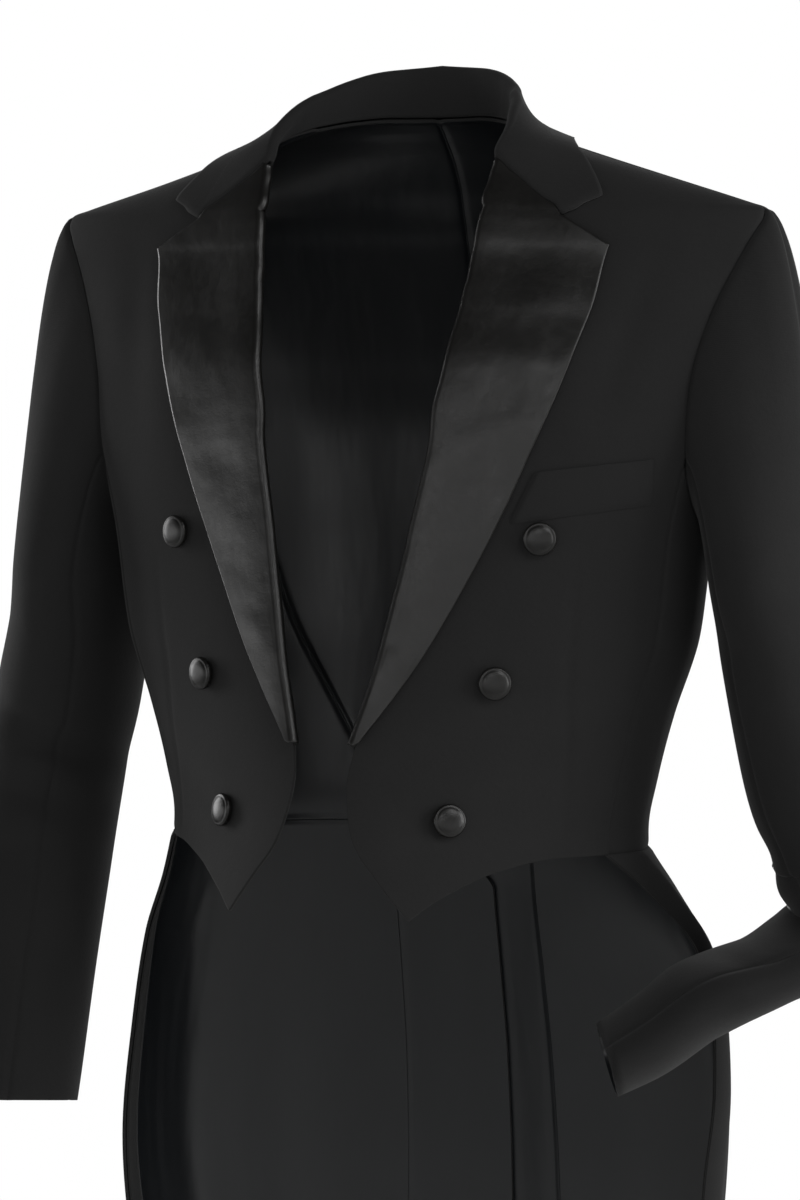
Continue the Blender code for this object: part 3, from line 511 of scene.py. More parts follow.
neck_back = from_above(NECK_BACK)
back_neck = line(neck_back[::-1])
centre_back = chain((lambda share: np.stack([np.full(len(share), math.pi), tail_height(share)], -1), 10),
                    (line(np.array([[math.pi, WAIST], neck_back[-1]])), 19))
back_right = chain((tail_seam, 10), (back_seam, 15), (armhole(BACK_SEAM_AT, 1.0), 4))
hem_end = tail_seam([0.0])[0, 0]
back_grid = coons(centre_back, back_right,
                  lambda share: np.stack([math.pi + (hem_end - math.pi) * share, np.full(len(share), HEM)], -1),
                  chain((back_neck, 5), (shoulder_seam, 6)), crowded(BACK_ROWS, 0.6), crowded(BACK_COLUMNS),
                  BACK_TOP_POWER)
back_across, back_height = body(back_grid[..., 0], back_grid[..., 1])[..., 0], back_grid[..., 1]
near_centre = np.clip((VENT_LIFT_EDGE - back_across) / VENT_LIFT_EASE, 0, 1)
open_part = np.clip((VENT_TOP + VENT_EASE - back_height) / VENT_EASE, 0, 1)
lap = VENT_LAP * np.clip((VENT_TOP - back_height) / VENT_EASE, 0, 1) * np.clip(1 - back_across / VENT_LIFT_EDGE, 0, 1)
lapped = body(back_grid[..., 0] + lap / ring("half_width", back_height), back_height)
for side, lift_way in (("L", 1.0), ("R", -1.0)):
    points = lapped.copy()
    points[..., 1] += lift_way * (CLOTH / 2 + LAYER_GAP) * open_part * near_centre
    trough = creases(back_across, back_height, BACK_CREASES)
    trough = trough + SEAM_DIP * np.exp(-(back_across / SEAM_DIP_WIDTH) ** 2) * (1 - open_part)
    points = sewn(points, ("top", "right"), trough, faces_out=False)
    back = cloth("back_cloth_" + side, points, CLOTH, wool, lining_satin, faces_out=False, mirrored=side == "R")
    sewn_in(back, ["back_" + side, "tail_strip_" + side])

# Tails: each skirt hangs from the waist seam. Inside it lie a satin lining and, along the front edge, a facing
# of the cloth. The wearer's left tail is pushed back by the bent arm, so that its lining shows in soft folds.
SATIN = 0.0010
LINING_GAP = 0.0008
TAIL_EDGE_HANGING = np.array([(0.1465, -0.0420, WAIST), (0.1530, -0.0425, -0.470), (0.1660, -0.0420, -0.508),
                              (0.1760, -0.0420, -0.568), (0.1840, -0.0400, -0.640), (0.1850, -0.0300, -0.700),
                              (0.1790, 0.0050, -0.800), (0.1620, 0.0500, -0.900), (0.1400, 0.0820, HEM)])
TAIL_EDGE_SWUNG = np.array([(0.1465, -0.0420, WAIST), (0.1635, -0.0130, -0.470), (0.1800, 0.0300, -0.513),
                            (0.1845, 0.0450, -0.560), (0.1835, 0.0490, -0.600), (0.1755, 0.0530, -0.660),
                            (0.1620, 0.0660, -0.800), (0.1480, 0.0820, -0.900), (0.1320, 0.0980, HEM)])
TAIL_FACING_WIDTH = 0.020
TAIL_SWING = 0.022
TAIL_SWING_DROP = 0.12
TAIL_EDGE_POWER = 1.6
TAIL_ROWS = 130
TAIL_COLUMNS = 70
FACING_COLUMNS = 8
# Troughs and ridges of the skirt: share across and height to share across and height, width, depth
TAIL_CREASES_L = np.array([
    (0.30, -0.480, 0.34, -0.960, 0.10, 0.0050),
    (0.52, -0.470, 0.58, -0.990, 0.08, -0.0045),
    (0.72, -0.470, 0.76, -0.800, 0.06, 0.0035),
    (0.12, -0.560, 0.14, -0.980, 0.07, -0.0030),
])
TAIL_CREASES_R = np.array([
    (0.35, -0.500, 0.30, -0.980, 0.09, 0.0040),
    (0.62, -0.520, 0.58, -0.970, 0.08, -0.0035),
    (0.14, -0.600, 0.16, -0.990, 0.07, -0.0025),
])
# Finer folds of the lining alone, in the same columns
LINING_CREASES = np.array([
    (0.93, -0.560, 0.90, -0.700, 0.020, 0.0012),
    (0.86, -0.540, 0.84, -0.690, 0.024, -0.0012),
    (0.78, -0.470, 0.80, -0.640, 0.022, 0.0013),
    (0.70, -0.450, 0.74, -0.600, 0.020, -0.0010),
    (0.60, -0.455, 0.95, -0.515, 0.020, 0.0011),
    (0.50, -0.460, 0.88, -0.540, 0.022, -0.0010),
    (0.40, -0.500, 0.60, -0.620, 0.024, 0.0010),
])


def tail_points(edge, swing, heights, share):
    """A skirt: body rings from the strip's seam to the front edge, drawn to the edge's own line by share^power."""
    edge_at = np.stack([smooth(edge[:, 2], edge[:, k], heights) for k in range(3)], -1)
    hanging = smooth(TAIL_EDGE_HANGING[:, 2], TAIL_EDGE_HANGING[:, 1], heights)
    drop = ring("side_y", heights) - hanging
    depth, power = half_ring(drop > 0, heights)
    edge_turn = np.arccos(np.clip(np.sign(drop) * (np.abs(drop) / depth) ** (power / 2), -1, 1))
    across = np.interp(heights, [HEM, WAIST], [BACK_SEAM_HEM, BACK_SEAM_WAIST])
    seam = turn_at(across, heights, back=True)
    turn = seam[:, None] + (edge_turn - seam)[:, None] * share
    points = body(turn, np.broadcast_to(heights[:, None], turn.shape))
    points += (edge_at - points[:, -1])[:, None] * (share ** TAIL_EDGE_POWER)[None, :, None]
    fall = np.clip((WAIST - heights) / TAIL_SWING_DROP, 0, 1)[:, None]
    fall = fall * fall * (3 - 2 * fall)
    points[..., 1] += swing * fall * np.sin(math.pi * share) ** 2
    return points


def between(points, start, end, columns_at):
    """Columns of a grid between two places in each row, which are lengths from the row's first point."""
    at = start[:, None] + (end - start)[:, None] * columns_at
    place = np.stack([np.interp(a, w, np.arange(len(w))) for a, w in zip(at, lengths_of(points, 1))])
    low = np.minimum(place.astype(int), points.shape[1] - 2)
    rest = (place - low)[..., None]
    row = np.arange(len(points))[:, None]
    return points[row, low] * (1 - rest) + points[row, low + 1] * rest


def hang_free(heights):
    """Folds grow from nothing at the waist seam to their whole depth a hand's breadth below it."""
    fall = np.clip((WAIST - heights) / 0.09, 0, 1)
    return (fall * fall * (3 - 2 * fall))[:, None]


for side, edge, swing, folds, width_at_foot, length in (
        ("L", TAIL_EDGE_SWUNG, TAIL_SWING, TAIL_CREASES_L, 0.185, 0.600),
        ("R", TAIL_EDGE_HANGING, 0.0, TAIL_CREASES_R, 0.228, 0.585)):
    heights = HEM + (WAIST - HEM) * crowded(TAIL_ROWS)
    share = crowded(TAIL_COLUMNS)
    points = tail_points(edge, swing, heights, share)
    loose = np.sin(math.pi * share) ** 0.5
    points = sewn(points, (), creases(share, heights[:, None], folds) * hang_free(heights) * loose, faces_out=False)
    skirt = cloth("tail_skirt_cloth_" + side, sewn(points, ("top", "left"), 0.0, faces_out=False), CLOTH, wool,
                  faces_out=False, mirrored=side == "R")
    sewn_in(skirt, ["tail_skirt_" + side])
    inner = points + normals_of(points) * ((CLOTH + SATIN) / 2 + LINING_GAP)
    width = lengths_of(inner, 1)[:, -1]
    lining_share = crowded(TAIL_COLUMNS, 0.6)
    lining = between(inner, 0 * width, width - TAIL_FACING_WIDTH, lining_share)
    lining = sewn(lining, ("top",), -0.3 * np.abs(creases(lining_share, heights[:, None], LINING_CREASES)),
                  faces_out=True)
    made = cloth("tail_lining_satin_" + side, lining, SATIN, lining_satin, mirrored=side == "R")
    sewn_in(made, ["tail_lining_" + side])
    facing = between(inner, width - TAIL_FACING_WIDTH + SEAM_GAP, width, np.linspace(0, 1, FACING_COLUMNS + 1))
    made = cloth("tail_facing_cloth_" + side, facing, SATIN, wool, mirrored=side == "R")
    sewn_in(made, ["tail_facing_" + side])

# Sleeves: two-piece sleeves set into the armholes with a little fullness over the head. The wearer's right arm
# hangs and the left is bent, with its cuff at the hip, so the creases gather at each elbow.
SLEEVE_BENT = np.array([
    (0.2385, 0.0020, -0.275, 0.00, 1.00, 0.05, 0.063, 0.0365),
    (0.2450, 0.0080, -0.315, -0.03, 1.00, 0.10, 0.061, 0.0395),
    (0.2600, 0.0180, -0.395, -0.08, 1.00, 0.15, 0.057, 0.0430),
    (0.2730, 0.0260, -0.452, -0.20, 0.95, 0.20, 0.055, 0.0400),
    (0.2720, 0.0250, -0.484, -0.40, 0.85, 0.20, 0.055, 0.0290),
    (0.2580, 0.0140, -0.500, -0.48, 0.84, 0.10, 0.057, 0.0225),
    (0.2350, -0.0050, -0.5135, -0.46, 0.88, 0.00, 0.059, 0.0200),
    (0.2000, -0.0280, -0.5305, -0.43, 0.90, -0.05, 0.060, 0.0235),
    (0.1755, -0.0430, -0.5510, -0.41, 0.91, -0.06, 0.059, 0.0232),
    (0.1522, -0.0560, -0.5662, -0.41, 0.91, -0.06, 0.058, 0.0210),
])
SLEEVE_HANGING = np.array([
    (0.2335, -0.0020, -0.275, 0.00, 1.00, 0.00, 0.060, 0.0355),
    (0.2385, 0.0060, -0.315, 0.00, 1.00, 0.00, 0.059, 0.0395),
    (0.2495, 0.0110, -0.360, 0.00, 1.00, 0.05, 0.058, 0.0430),
    (0.2585, 0.0060, -0.402, 0.00, 1.00, -0.12, 0.056, 0.0445),
    (0.2615, -0.0090, -0.460, 0.00, 1.00, -0.25, 0.055, 0.0450),
    (0.2625, -0.0310, -0.527, 0.00, 1.00, -0.30, 0.054, 0.0460),
    (0.2614, -0.0650, -0.619, 0.00, 1.00, -0.35, 0.052, 0.0490),
])
CUFF_FACES_BENT = np.array([-0.875, -0.407, -0.262])
CUFF_FACES_HANGING = np.array([-0.070, -0.157, -0.970])
CAP_START_PULL = 0.066
CAP_END_PULL = 0.110
CAP_LOW_PULL = 0.76
SHOULDER_SLOPE = 0.31
ARMHOLE_GAP = 0.0005
CAP_FULLNESS = 0.30
CAP_ROWS = 46
ARM_ROWS = 110
# Troughs and ridges: share of the way round and length along the arm from the top ring, to the same, width, depth
ARM_CREASES_BENT = np.array([
    (0.45, 0.165, 0.70, 0.205, 0.011, 0.0035),
    (0.40, 0.185, 0.68, 0.222, 0.009, -0.0022),
    (0.48, 0.205, 0.66, 0.232, 0.008, 0.0030),
    (0.30, 0.150, 0.52, 0.170, 0.012, 0.0018),
    (0.95, 0.235, 0.60, 0.262, 0.010, 0.0016),
    (0.20, 0.275, 0.55, 0.300, 0.010, 0.0014),
    (0.10, 0.300, 0.42, 0.330, 0.011, -0.0012),
    (0.22, 0.050, 0.42, 0.020, 0.014, 0.0018),
    (0.05, 0.070, 0.30, 0.100, 0.018, 0.0014),
])
ARM_CREASES_HANGING = np.array([
    (0.20, 0.110, 0.48, 0.135, 0.013, 0.0028),
    (0.24, 0.140, 0.50, 0.155, 0.010, -0.0018),
    (0.18, 0.165, 0.46, 0.172, 0.011, 0.0024),
    (0.08, 0.200, 0.40, 0.215, 0.014, 0.0014),
    (0.22, 0.030, 0.42, 0.000, 0.014, 0.0018),
    (0.02, 0.080, 0.22, 0.120, 0.018, 0.0013),
    (0.15, 0.270, 0.38, 0.285, 0.013, 0.0010),
])
ROUND_THE_ARM = 0.30


def sleeve_points(table, cuff_faces, turns):
    """A sleeve: a cap of cubic curves from the armhole to the first ring, then oval rings along a smooth line."""
    angle = 2 * math.pi * turns
    rows = resample(table, crowded(ARM_ROWS, 0.3))
    centre = rows[:, :3]
    along = unit(np.gradient(centre, axis=0))
    ease = np.clip((np.linspace(0, 1, len(rows)) - 0.86) / 0.14, 0, 1)[:, None]
    along = unit(along * (1 - ease) + cuff_faces * ease)
    wide = unit(rows[:, 3:6] - np.sum(rows[:, 3:6] * along, -1, keepdims=True) * along)
    thin = np.cross(along, wide)
    thin *= np.sign(thin[:, :1])
    rings = (centre[:, None] + thin[:, None] * rows[:, 7, None, None] * np.cos(angle)[None, :, None]
             - wide[:, None] * rows[:, 6, None, None] * np.sin(angle)[None, :, None])
    seam = armhole(0, 1)(turns)
    start = body(seam[:, 0], seam[:, 1])
    step = 1e-3
    outward = unit(np.cross(body(seam[:, 0], seam[:, 1] - step) - body(seam[:, 0], seam[:, 1] + step),
                            body(seam[:, 0] + step, seam[:, 1]) - body(seam[:, 0] - step, seam[:, 1])))
    high = np.clip(np.cos(angle), 0, 1)[:, None]
    across = np.array([1.0, 0.0, 0.0]) - high * np.array([0.0, 0.0, SHOULDER_SLOPE])
    fullness = CAP_FULLNESS * (1 - high)
    leave = unit(across * (1 - fullness) + outward * fullness)
    start = start + leave * ARMHOLE_GAP
    arrive = unit(np.gradient(rings, axis=0)[0])
    share = (np.linspace(0, 1, CAP_ROWS + 1)[:-1] ** 1.5)[:, None, None]
    pull = (1 - CAP_LOW_PULL * (1 - np.cos(angle)) / 2)[None, :, None]
    cap = ((2 * share ** 3 - 3 * share ** 2 + 1) * start
           + (share ** 3 - 2 * share ** 2 + share) * leave * CAP_START_PULL * pull
           + (-2 * share ** 3 + 3 * share ** 2) * rings[0]
           + (share ** 3 - share ** 2) * arrive * CAP_END_PULL * pull)
    return np.concatenate([cap, rings])


for side, table, faces, folds in (("L", SLEEVE_BENT, CUFF_FACES_BENT, ARM_CREASES_BENT),
                                  ("R", SLEEVE_HANGING, CUFF_FACES_HANGING, ARM_CREASES_HANGING)):
    for part, nodes, start, end, count, flat, area in (
            ("upper", ("sleeve_head_", "upper_sleeve_", "upper_forearm_"), UNDER_SLEEVE_END_AT - 1, SIDE_SEAM_AT, 100,
             (0.245, 0.620), 0.113),
            ("under", ("under_sleeve_", "under_forearm_"), SIDE_SEAM_AT, UNDER_SLEEVE_END_AT, 56,
             (0.124, 0.460), 0.042)):
        turns = start + (end - start) * crowded(count)
        points = sleeve_points(table, faces, turns)
        along = lengths_of(points[CAP_ROWS:], 0).mean(1)
        along = np.concatenate([np.linspace(-0.20, 0, CAP_ROWS + 1)[:-1], along])[:, None]
        folds_here = folds * np.array([ROUND_THE_ARM, 1, ROUND_THE_ARM, 1, 1, 1])
        trough = (creases(turns * ROUND_THE_ARM, along, folds_here)
                  + creases((turns + 1) * ROUND_THE_ARM, along, folds_here))
        points = sewn(points, ("bottom", "left", "right"), trough)
        sleeve = cloth(part + "_sleeve_cloth_" + side, points, CLOTH, wool, lining_satin, mirrored=side == "R")
        sewn_in(sleeve, [node + side for node in nodes])

# Lapels: the satin facings of the fronts, cut with a notch and turned over along the roll line. The satin is
# laid on loosely over the canvas, so it shows broad soft ripples and clouds of shine.
ROLL_RADIUS = 0.0030
ROLL_EASE = 0.030
FALL_POWER = 1.25
FOLD_GAP = 0.0021
FOLD_SEAM_GAP = 0.0005
LAPEL_EDGE = np.array([(0.0225, -0.3745), (0.0415, -0.3460), (0.0615, -0.3134), (0.0809, -0.2755),
                       (0.0991, -0.2369), (0.1152, -0.1984), (0.1321, -0.1527), (0.1428, -0.1170),
                       (0.1498, -0.0775)])
NOTCH = (0.1200, -0.0600)
LAPEL_ROWS = 190
LAPEL_COLUMNS = 80
CURL_COLUMNS = 14
# Ripples of the satin: across and height to across and height, width, depth
LAPEL_CREASES_L = np.array([
    (0.078, -0.118, 0.146, -0.100, 0.0150, -0.0007),
    (0.078, -0.130, 0.120, -0.178, 0.0130, 0.0006),
    (0.100, -0.125, 0.138, -0.150, 0.0100, 0.0005),
    (0.068, -0.200, 0.104, -0.186, 0.0120, -0.0006),
    (0.064, -0.215, 0.098, -0.236, 0.0110, 0.0005),
    (0.052, -0.262, 0.082, -0.252, 0.0090, -0.0004),
    (0.044, -0.290, 0.068, -0.300, 0.0090, 0.0004),
    (0.034, -0.322, 0.056, -0.330, 0.0080, -0.0004),
])
LAPEL_CREASES_R = np.array([
    (0.085, -0.100, 0.140, -0.112, 0.0160, 0.0004),
    (0.074, -0.165, 0.122, -0.150, 0.0140, -0.0005),
    (0.068, -0.215, 0.106, -0.196, 0.0120, 0.0005),
    (0.058, -0.250, 0.090, -0.236, 0.0100, -0.0004),
    (0.050, -0.276, 0.078, -0.268, 0.0100, 0.0004),
    (0.040, -0.315, 0.060, -0.305, 0.0080, -0.0004),
])
SATIN_DARK = (0.0035, 0.0035, 0.0034, 1.0)
SATIN_LIGHT = (0.0085, 0.0080, 0.0072, 1.0)


def make_satin():
    """Silk satin: dark and smooth, whose long floats and loose laying break the shine into soft clouds."""
    made, shader, start = finish("black_silk_satin", {"Specular IOR Level": 0.38})
    place = start.node("TexCoord", None, None, "Object")
    cloud = noise(start, place, 26.0, 2.0, 0.5, (1.0, 1.0, 1.0))
    mottle = noise(start, place, 260.0, 3.0, 0.7, (1.0, 1.0, 0.8))
    grain = noise(start, place, 1100.0, 2.0, 0.6, (0.3, 0.3, 1.0))
    start.node("Mix", {"data_type": "RGBA"}, {"Factor": cloud * 0.5 + mottle * 0.5, 6: SATIN_DARK, 7: SATIN_LIGHT},
               "Result").into(shader, "Base Color")
    (0.20 + cloud * 0.10 + mottle * 0.16 + grain * 0.05).into(shader, "Roughness")
    ripple = start.node("Bump", None, {"Strength": 0.6, "Distance": 0.0022, "Height": cloud + mottle * 0.09})
    start.node("Bump", None, {"Strength": 0.3, "Distance": 0.0001, "Height": grain, "Normal": ripple}).into(
        shader, "Normal")
    return made


def fold_height(distance):
    """How far turned cloth stands off the front: two roll radii at the fold, settling as a bell with distance."""
    settled = CLOTH + FOLD_GAP
    return settled + (2 * ROLL_RADIUS - settled) * np.exp(-(distance / ROLL_EASE) ** 2)


def body_normal(turn, height):
    """Outward normals of the body surface, from two short steps on it."""
    turn = np.clip(turn, 0.02, math.pi - 0.02)
    step = 1e-3
    return unit(np.cross(body(turn, height - step) - body(turn, height + step),
                         body(turn + step, height) - body(turn - step, height)))


def turned(start, rise, out, base, normal, distance, stand, stand_columns, power):
    """Folded cloth: up the stand, round a half circle of the roll radius, then down over the base points."""
    top = start + rise * stand
    columns = [start + rise * stand * k / stand_columns for k in range(stand_columns)]
    for k in range(CURL_COLUMNS):
        a = math.pi * k / CURL_COLUMNS
        columns.append(top + out * ROLL_RADIUS * (1 - math.cos(a)) + rise * ROLL_RADIUS * math.sin(a))
    lifted = base + normal * fold_height(distance)[..., None]
    above = top + out * 2 * ROLL_RADIUS - lifted[:, 0]
    columns += [lifted[:, k] + above * (1 - share) ** power
                for k, share in enumerate(np.linspace(0, 1, base.shape[1]))]
    return np.stack(columns, 1)


satin = make_satin()
gorge = on_front(np.array([ROLL_LINE[-1], NOTCH, LAPEL_EDGE[-1]]))
lapel_top = chain((line(gorge[:2]), 3), (line(gorge[1:]), 2))
lapel_foot = line(np.concatenate([on_front(ROLL_LINE[:1]), on_front(LAPEL_EDGE[:1])]))
lapel_grid = coons(roll_line, line(on_front(LAPEL_EDGE)), lapel_foot, lapel_top,
                   crowded(LAPEL_ROWS, 0.5), np.linspace(0, 1, LAPEL_COLUMNS + 1))
lapel_base = body(lapel_grid[..., 0], lapel_grid[..., 1])
lapel_normal = body_normal(lapel_grid[..., 0], lapel_grid[..., 1])
lapel_inward = unit(np.cross(lapel_normal[:, 0], np.gradient(lapel_base[:, 0], axis=0)))
lapel_away = np.linalg.norm(lapel_base - lapel_base[:, :1], axis=-1)
lapel_points = turned(lapel_base[:, 0] + lapel_inward * FOLD_SEAM_GAP, lapel_inward, lapel_normal[:, 0], lapel_base,
                      lapel_normal, lapel_away, np.zeros((len(lapel_base), 1)), 0, FALL_POWER)
on_fall = np.concatenate([np.zeros(CURL_COLUMNS), np.linspace(0, 1, LAPEL_COLUMNS + 1)])
free = np.clip(np.minimum(on_fall, 1 - on_fall) / 0.12, 0, 1)
for side, table in (("L", LAPEL_CREASES_L), ("R", LAPEL_CREASES_R)):
    trough = creases(lapel_points[..., 0], lapel_points[..., 2], table) * free
    lapel = cloth("lapel_satin_" + side, sewn(lapel_points, (), trough), CLOTH, satin, mirrored=side == "R")
    sewn_in(lapel, ["lapel_" + side])

# Collar: one strip of the coat's wool round the neck, with a stand, a fold and a fall that lies on the shoulders
# and meets the lapels at the gorge, with a notch on each side.
STAND_SEAM_GAP = 0.0013
NOTCH_EDGE = (0.1312, -0.0545)
COLLAR_CORNER = (0.1420, -0.0488)
FOLD_HEIGHT = np.array([(0.00, 0.0016), (0.17, 0.005), (0.38, 0.0125), (0.55, 0.0175), (0.75, 0.025),
                        (1.00, 0.029)])
FALL_STEEPNESS = np.array([(0.00, 1.25), (0.30, 2.7), (0.60, 2.7), (1.00, 1.4)])
UPRIGHT = np.array([(0.00, 0.0), (0.25, 0.6), (0.60, 1.0), (1.00, 1.0)])
STAND_LEANS = np.array([0.0, 0.08, 1.0])
FALL_EDGE = np.array([(0.1362, -0.0345), (0.1300, -0.0297), (0.1240, -0.0255), (0.1175, -0.0205),
                      (0.1110, -0.0110), (0.1055, 0.0010), (0.0940, 0.0205), (0.0700, 0.0420),
                      (0.0360, 0.0560), (0.0, 0.0600)])
COLLAR_ROWS = 90
FALL_COLUMNS = 46
STAND_COLUMNS = 14
collar_at = crowded(COLLAR_ROWS, 0.3)
collar_neck = chain((front_neck, 5), (line(neck_back), 5))
collar_edge = line(np.concatenate([on_front(COLLAR_CORNER), from_above(FALL_EDGE)]))
collar_gorge = on_front(np.array([ROLL_LINE[-1], NOTCH, NOTCH_EDGE, COLLAR_CORNER]))
neck_end, edge_end = collar_neck([1.0])[0], collar_edge([1.0])[0]


def seen_from_above(border):
    """The same line as distances from the centre and depths."""
    def run(at):
        turn, height = border(at).T
        return body(turn, height)[:, :2]

    return run


collar_grid = coons(seen_from_above(collar_neck), seen_from_above(collar_edge),
                    seen_from_above(chain((line(collar_gorge[:2]), 3), (line(collar_gorge[1:]), 1))),
                    seen_from_above(lambda share: neck_end + (edge_end - neck_end) * np.asarray(share)[:, None]),
                    collar_at, np.linspace(0, 1, FALL_COLUMNS + 1))
collar_grid = from_above(collar_grid.reshape(-1, 2)).reshape(collar_grid.shape)
collar_base = body(collar_grid[..., 0], collar_grid[..., 1])
collar_normal = body_normal(collar_grid[..., 0], collar_grid[..., 1])
collar_base[-1, :, 0] = 0
collar_normal[-1, :, 0] = 0
collar_normal = unit(collar_normal)
collar_inward = unit(np.cross(collar_normal[:, 0], np.gradient(collar_base[:, 0], axis=0)))
upright = smooth(UPRIGHT[:, 0], UPRIGHT[:, 1], collar_at)[:, None]
rise = unit(collar_inward * (1 - upright) + STAND_LEANS * upright)
out = unit(collar_normal[:, 0] - np.sum(collar_normal[:, 0] * rise, -1, keepdims=True) * rise)
stand = smooth(FOLD_HEIGHT[:, 0], FOLD_HEIGHT[:, 1], collar_at)[:, None]
collar_start = collar_base[:, 0] + rise * (FOLD_SEAM_GAP + upright * (STAND_SEAM_GAP - FOLD_SEAM_GAP))
steepness = smooth(FALL_STEEPNESS[:, 0], FALL_STEEPNESS[:, 1], collar_at)[:, None]
half = turned(collar_start, rise, out, collar_base, collar_normal,
              np.linalg.norm(collar_base - collar_base[:, :1], axis=-1), stand, STAND_COLUMNS, steepness)
collar_points = np.concatenate([half, half[:-1][::-1] * MIRROR])
collar = cloth("collar_cloth", sewn(collar_points, ("bottom", "top")), CLOTH, wool)
sewn_in(collar, ["collar"])

# Chest welt: the stiffened strip of wool over the chest pocket on the wearer's left, sewn down at its ends.
WELT_THICKNESS = 0.0012
WELT_TOP = np.array([(0.1165, -0.2122), (0.1800, -0.2045)])
WELT_BOTTOM = np.array([(0.1020, -0.2433), (0.1780, -0.2318)])
WELT_COLUMNS = 90
WELT_ROWS = 34
across = crowded(WELT_COLUMNS)[None, :, None]
up = crowded(WELT_ROWS)[:, None, None]
flat_welt = ((WELT_BOTTOM[0] + (WELT_BOTTOM[1] - WELT_BOTTOM[0]) * across) * (1 - up)
             + (WELT_TOP[0] + (WELT_TOP[1] - WELT_TOP[0]) * across) * up)
welt_turn = turn_at(flat_welt[..., 0], flat_welt[..., 1])
welt_front = np.stack([flat_welt[..., 0], flat_welt[..., 1]], -1)
welt_press = creases(welt_front[..., 0], welt_front[..., 1], FRONT_CREASES_L[1:])
welt_points = (body(welt_turn, flat_welt[..., 1]) + body_normal(welt_turn, flat_welt[..., 1])
               * ((CLOTH + WELT_THICKNESS) / 2 + LAYER_GAP - welt_press)[..., None])
welt = cloth("chest_welt_cloth", sewn(welt_points, ("bottom", "left", "right"), 0.0), WELT_THICKNESS, wool)
sewn_in(welt, ["chest_welt"])

# Buttons: domed buttons covered in the lapels' satin, which is gathered under the rim. Three are sewn on each
# front and one at the top of each tail.
BUTTONS = ((0.1198, -0.2516), (0.0960, -0.3375), (0.0733, -0.4193))
BACK_BUTTON = (0.0480, -0.4310)
BUTTON_GAP = 0.0008
BACK_BUTTON_GAP = 0.0013
BUTTON_RADIUS = 0.0102
BUTTON_HEIGHT = 0.0058
BUTTON_SIDES = 72
BUTTON_PROFILE = np.array([(0.0, 1.0), (0.25, 0.985), (0.50, 0.93), (0.70, 0.83), (0.80, 0.735), (0.84, 0.715),
                           (0.90, 0.70), (0.96, 0.60), (1.0, 0.42), (0.985, 0.22), (0.90, 0.06), (0.70, 0.0),
                           (0.35, 0.0), (0.0, 0.0)])
GATHERS = 24
GATHER_DEPTH = 0.00018


def button_mesh(name, seat, normal, spin):
    """A turned profile: radius and height along a smooth curve, with a fine wave round the gathered rim."""
    profile = resample(BUTTON_PROFILE, np.linspace(0, 1, 61))
    profile[0, 0] = profile[-1, 0] = 0.0
    angle = np.linspace(0, 2 * math.pi, BUTTON_SIDES, endpoint=False) + spin
    radius, height = profile[1:-1, 0] * BUTTON_RADIUS, profile[1:-1, 1] * BUTTON_HEIGHT
    rim = np.exp(-((height / BUTTON_HEIGHT - 0.30) / 0.30) ** 2) * (radius > 0.8 * BUTTON_RADIUS)
    radius = radius[:, None] - GATHER_DEPTH * rim[:, None] * (1 + np.cos(GATHERS * angle))
    side = unit(np.cross(normal, [0.0, 0.0, 1.0]))
    up = np.cross(side, normal)
    points = (radius[..., None] * (np.cos(angle)[:, None] * side + np.sin(angle)[:, None] * up)
              + height[:, None, None] * normal)
    points = np.concatenate([points.reshape(-1, 3), [normal * BUTTON_HEIGHT, normal * 0.0]]) + seat
    rows = len(radius)
    index = np.arange(rows * BUTTON_SIDES).reshape(rows, BUTTON_SIDES)
    after = np.roll(index, -1, axis=1)
    faces = np.stack([index[:-1], index[1:], after[1:], after[:-1]], -1).reshape(-1, 4).tolist()
    faces += [(rows * BUTTON_SIDES, i, j) for i, j in zip(index[0], after[0])]
    faces += [(rows * BUTTON_SIDES + 1, j, i) for i, j in zip(index[-1], after[-1])]
    mesh = bpy.data.meshes.new(name)
    mesh.from_pydata(points, [], faces)
    mesh.materials.append(satin)
    mesh.shade_smooth()
    made = bpy.data.objects.new(name, mesh)
    bpy.context.scene.collection.objects.link(made)
    return made


def sew_button(name, node, turn, height, gap, mirrored, spin):
    """Sets a button on the coat, a little off the cloth, and fixes it to the frame."""
    way = MIRROR if mirrored else 1.0
    normal = body_normal(turn, height) * way
    button = button_mesh(name, body(turn, height) * way + normal * (CLOTH / 2 + gap), normal, spin)
    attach(button, "root")
    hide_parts(node)


for side in ("L", "R"):
    for number, (x, z) in enumerate(BUTTONS, 1):
        sew_button(f"front_satin_button_{side}{number}", f"front_button_{side}{number}", turn_at(x, z), z,
                   BUTTON_GAP, side == "R", 0.7 * number)
    x, z = BACK_BUTTON
    sew_button("back_satin_button_" + side, "back_button_" + side, turn_at(x, z, back=True), z,
               BACK_BUTTON_GAP, side == "R", 0.0)

# The studio: a plain pale floor, a pale wall of light all round at eye level, and soft lamps. The camera stands
# where the picture was taken from, to the wearer's left and a little above the waist.
CAMERA_TURN = math.radians(24)
CAMERA_RISE = math.radians(3.5)
CAMERA_DISTANCE = 2.7
CAMERA_TARGET = np.array([-0.009, 0.0, -0.296])
LENS = 129.6
FLOOR_HEIGHT = -1.50
FLOOR_RADIUS = 3.4
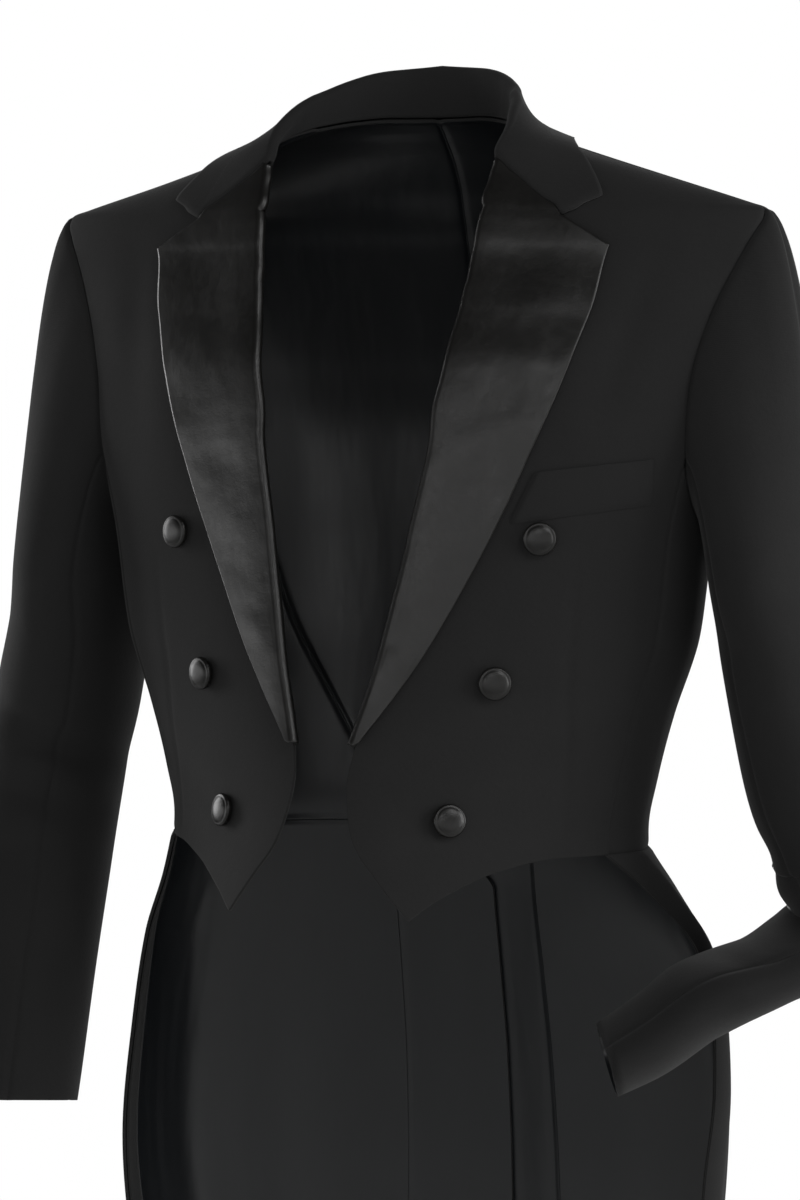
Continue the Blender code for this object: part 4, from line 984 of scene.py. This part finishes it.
# Lamps: place, target, width, height, power in watts
LAMPS = (
    ((-2.25, -1.41, -0.30), (0.0, 0.0, -0.35), 1.0, 0.30, 3.8),
    ((0.96, -2.64, 0.66), (0.0, 0.0, -0.20), 0.8, 0.36, 6.2),
    ((-0.10, -2.82, 0.14), (0.0, 0.0, -0.30), 0.6, 0.40, 3.8),
    ((2.00, -1.30, 1.30), (0.0, 0.0, -0.30), 1.0, 1.0, 17.0),
    ((-2.60, 0.35, 0.10), (-0.2, 0.0, -0.35), 0.9, 1.5, 26.0),
    ((2.70, 0.20, 0.20), (0.2, 0.0, -0.35), 1.2, 2.0, 46.0),
    ((-0.60, 2.40, 0.80), (0.0, 0.0, -0.30), 2.4, 1.6, 16.0),
)


def facing(place, target):
    """A rotation that looks from a place to a target."""
    return (Vector(target) - Vector(place)).to_track_quat("-Z", "Y").to_euler()


back_way = np.array([math.sin(CAMERA_TURN) * math.cos(CAMERA_RISE),
                     -math.cos(CAMERA_TURN) * math.cos(CAMERA_RISE), math.sin(CAMERA_RISE)])
camera = bpy.data.objects.new("camera", bpy.data.cameras.new("camera"))
camera.data.lens = LENS
camera.location = CAMERA_TARGET + CAMERA_DISTANCE * back_way
camera.rotation_euler = facing(camera.location, CAMERA_TARGET)
bpy.context.scene.collection.objects.link(camera)
bpy.context.scene.camera = camera

for number, (place, target, width, height, power) in enumerate(LAMPS):
    lamp = bpy.data.lights.new(f"lamp_{number}", "AREA")
    lamp.shape = "RECTANGLE"
    lamp.size = width
    lamp.size_y = height
    lamp.energy = power
    holder = bpy.data.objects.new(lamp.name, lamp)
    holder.location = place
    holder.rotation_euler = facing(place, target)
    bpy.context.scene.collection.objects.link(holder)

bpy.ops.mesh.primitive_circle_add(vertices=96, radius=FLOOR_RADIUS, fill_type="NGON", location=(0, 0, FLOOR_HEIGHT))
floor = bpy.context.object
floor.name = "floor"
pale, pale_shader, _ = finish("pale_floor", {"Base Color": (0.90, 0.90, 0.89, 1.0), "Roughness": 0.7})
floor.data.materials.append(pale)

world = bpy.data.worlds.new("studio")
bpy.context.scene.world = world
world.use_nodes = True
sky = Value(world.node_tree)
way = sky.node("TexCoord", None, None, "Generated")
height = sky.node("SeparateXYZ", None, {0: way}, "Z")
band = sky.node("ValToRGB", {"stops": ((0.30, (0.05, 0.05, 0.05, 1.0)), (0.48, (1.0, 1.0, 1.0, 1.0)))},
                {"Fac": 1 - sky.math("ABSOLUTE", height + 0.06) * 3.4})
world.node_tree.links.new(band.socket, world.node_tree.nodes["Background"].inputs["Color"])
bpy.context.scene.view_settings.view_transform = "Standard"
